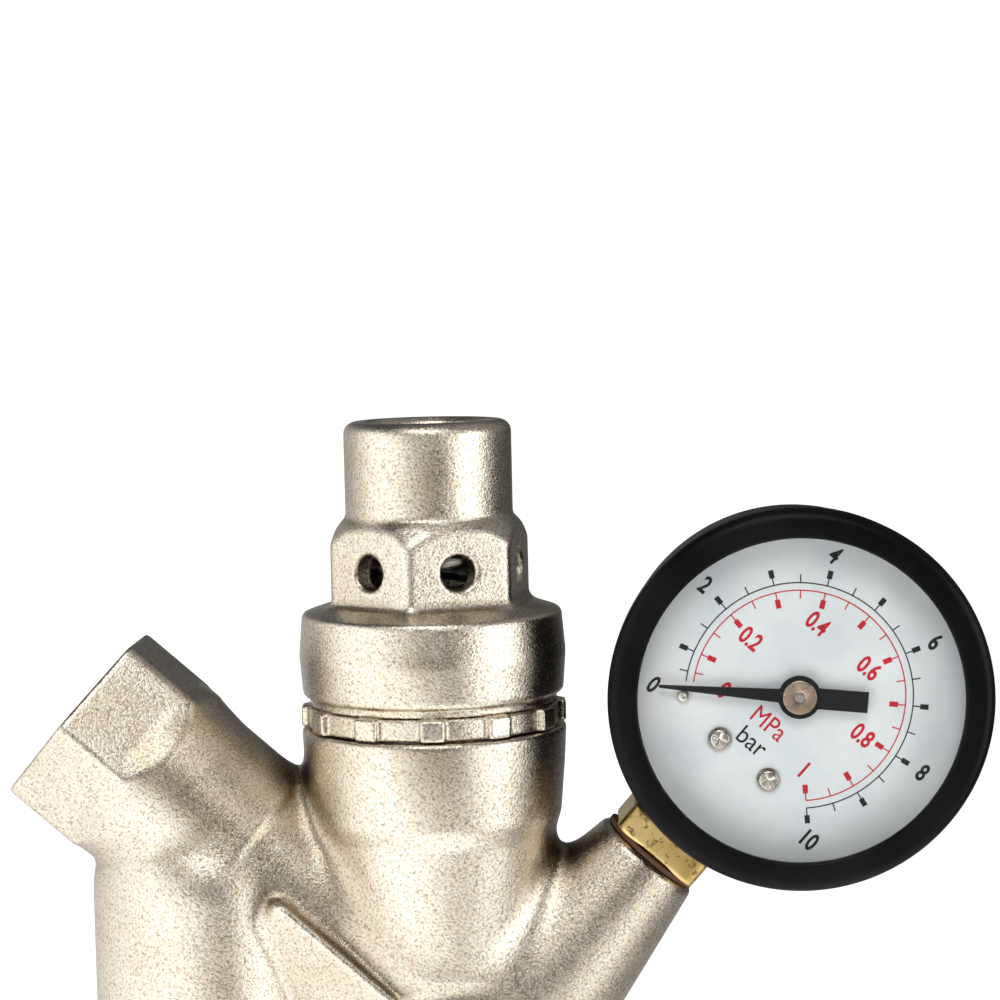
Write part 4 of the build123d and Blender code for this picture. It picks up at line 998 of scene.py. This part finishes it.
def add_screen():
    """Perforated strainer basket: staggered rows of small eight-sided holes in a thin tube."""
    radius, low, high = 9.4, 5.1, 33.6
    columns, rows = 54, 26
    cell = ((0, 0), (0.5, 0), (1, 0), (1, 0.5), (1, 1), (0.5, 1), (0, 1), (0, 0.5))
    opening = ((-1, -1), (0, -1.3), (1, -1), (1.3, 0), (1, 1), (0, 1.3), (-1, 1), (-1.3, 0))
    bm = bmesh.new()

    def spot(u, v):
        angle = 2 * math.pi * u / columns
        return (radius * math.cos(angle), radius * math.sin(angle), low + (high - low) * v / rows)

    for i in range(columns):
        for j in range(rows):
            shift = 0.5 * (j % 2)
            rim = [bm.verts.new(spot(i + shift + a, j + b)) for a, b in cell]
            if j in (0, rows - 1):
                bm.faces.new(rim)
                continue
            hole = []
            for a, b in opening:
                hole.append(bm.verts.new(spot(i + shift + 0.5 + a * 0.24, j + 0.5 + b * 0.24)))
            for k in range(8):
                bm.faces.new((rim[k], rim[(k + 1) % 8], hole[(k + 1) % 8], hole[k]))
    mesh = finished(bm, "strainer_basket", STRAINER)
    basket = new_object("strainer_basket", mesh, "strainer", STAINLESS, ["strainer_screen"])
    wall = basket.modifiers.new("wall", "SOLIDIFY")
    wall.thickness = 0.0004
    wall.offset = -1.0


def keep_cad_nodes():
    """CAD nodes that show as they are get their finish; those not listed are seals."""
    finishes = {
        "adjusting_screw": BRASS, "spring_seat": STAINLESS, "piston": BRASS, "stem": STAINLESS,
        "piston_nut": STAINLESS, "valve_disc": BRASS, "valve_cage": BRASS, "retaining_nut": STAINLESS,
        "gauge_washer": FIBRE, "dial": DIAL_WHITE, "bourdon_tube": BRASS, "tube_tip": BRASS,
        "movement_back_plate": BRASS, "movement_front_plate": BRASS, "movement_pillars": BRASS,
        "sector_gear": BRASS, "pointer_arbor": STAINLESS, "hairspring": SPRING_STEEL,
    }
    for name, node_object in frame["nodes"].items():
        if node_object.hide_render:
            continue
        node_object.data.materials.clear()
        node_object.data.materials.append(finishes.get(name, RUBBER))


# ---------------------------------------------------------------- stage
def add_floor():
    """Wide pale floor that rises a little at its rim and lights the valve's underside from the front."""
    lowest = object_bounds()[0].z
    bm = bmesh.new()
    rings = []
    for radius, height in ((0.0, 0.0), (0.5, 0.0), (1.5, 0.0), (6.0, 0.0), (9.0, 0.3), (11.0, 0.9)):
        level = lowest - 0.0005 + height
        angles = [math.radians(degrees) for degrees in range(0, 360, 5)]
        rings.append([bm.verts.new((radius * math.cos(a), radius * math.sin(a), level)) for a in angles])
    for here, there in zip(rings, rings[1:]):
        for k in range(len(here)):
            j = (k + 1) % len(here)
            bm.faces.new((here[k], there[k], there[j], here[j]))
    bmesh.ops.remove_doubles(bm, verts=bm.verts, dist=1e-6)
    bmesh.ops.recalc_face_normals(bm, faces=bm.faces)
    mesh = placed(bm, "floor", Matrix())
    floor = bpy.data.objects.new("floor", mesh)
    bpy.context.scene.collection.objects.link(floor)
    material = bpy.data.materials.new("floor_paper")
    material.use_nodes = True
    tree = material.node_tree
    shader = tree.nodes["Principled BSDF"]
    shader.inputs["Base Color"].default_value = (0.86, 0.86, 0.86, 1.0)
    shader.inputs["Roughness"].default_value = 0.9
    shader.inputs["Specular IOR Level"].default_value = 0.0
    shader.inputs["Emission Color"].default_value = (1.0, 1.0, 1.0, 1.0)
    place = tree.nodes.new("ShaderNodeSeparateXYZ")
    tree.links.new(tree.nodes.new("ShaderNodeTexCoord").outputs["Object"], place.inputs["Vector"])
    near_edge = remap(tree, place.outputs["Y"], -0.38, -0.12, 0.06, FLOOR_GLOW)
    far_edge = remap(tree, place.outputs["Y"], -0.08, 0.08, FLOOR_GLOW, FLOOR_DIM)
    smaller = tree.nodes.new("ShaderNodeMath")
    smaller.operation = "MINIMUM"
    tree.links.new(near_edge, smaller.inputs[0])
    tree.links.new(far_edge, smaller.inputs[1])
    lit_from_below = smaller.outputs[0]
    seen = tree.nodes.new("ShaderNodeLightPath").outputs["Is Camera Ray"]
    strength = mix_colour(tree, seen, lit_from_below, (FLOOR_BRIGHTNESS,) * 3)
    tree.links.new(strength, shader.inputs["Emission Strength"])
    mesh.materials.append(material)


def set_light():
    """A wide soft box to the right of the bonnet, one above it, and a dim room behind a white backdrop."""
    world = bpy.data.worlds.new("room")
    world.use_nodes = True
    tree = world.node_tree
    background = tree.nodes["Background"]
    direction = tree.nodes.new("ShaderNodeTexCoord").outputs["Generated"]
    split = tree.nodes.new("ShaderNodeSeparateXYZ")
    tree.links.new(direction, split.inputs["Vector"])
    shade = ramp(tree, split.outputs["Z"], [(0.0, (0.10, 0.10, 0.10)), (0.4, (0.07, 0.07, 0.07)),
                                            (1.0, (0.30, 0.30, 0.30))])
    seen = tree.nodes.new("ShaderNodeLightPath").outputs["Is Camera Ray"]
    tree.links.new(mix_colour(tree, seen, shade, (1.0, 1.0, 1.0)), background.inputs["Color"])
    background.inputs["Strength"].default_value = 1.0
    bpy.context.scene.world = world
    aim = Vector((0.045, 0.0, 0.03))
    up = BONNET_UP
    right = Vector((up.z, 0, -up.x))
    near = Vector((0, -1, 0))
    boxes = [
        ("right_box", 0.72 * right + 0.38 * near, (0.55, 0.80), 3.8, (1.0, 0.985, 0.96)),
        ("top_box", 0.66 * up + 0.62 * near, (0.70, 0.40), 3.4, (1.0, 0.99, 0.97)),
    ]
    for name, offset, size, power, colour in boxes:
        area_light(name, aim + offset, aim, size, power, colour)
    bpy.context.scene.view_settings.view_transform = "Standard"


make_camera()
set_light()
add_castings()
add_threads()
add_gauge()
add_spring()
add_screen()
keep_cad_nodes()
add_floor()
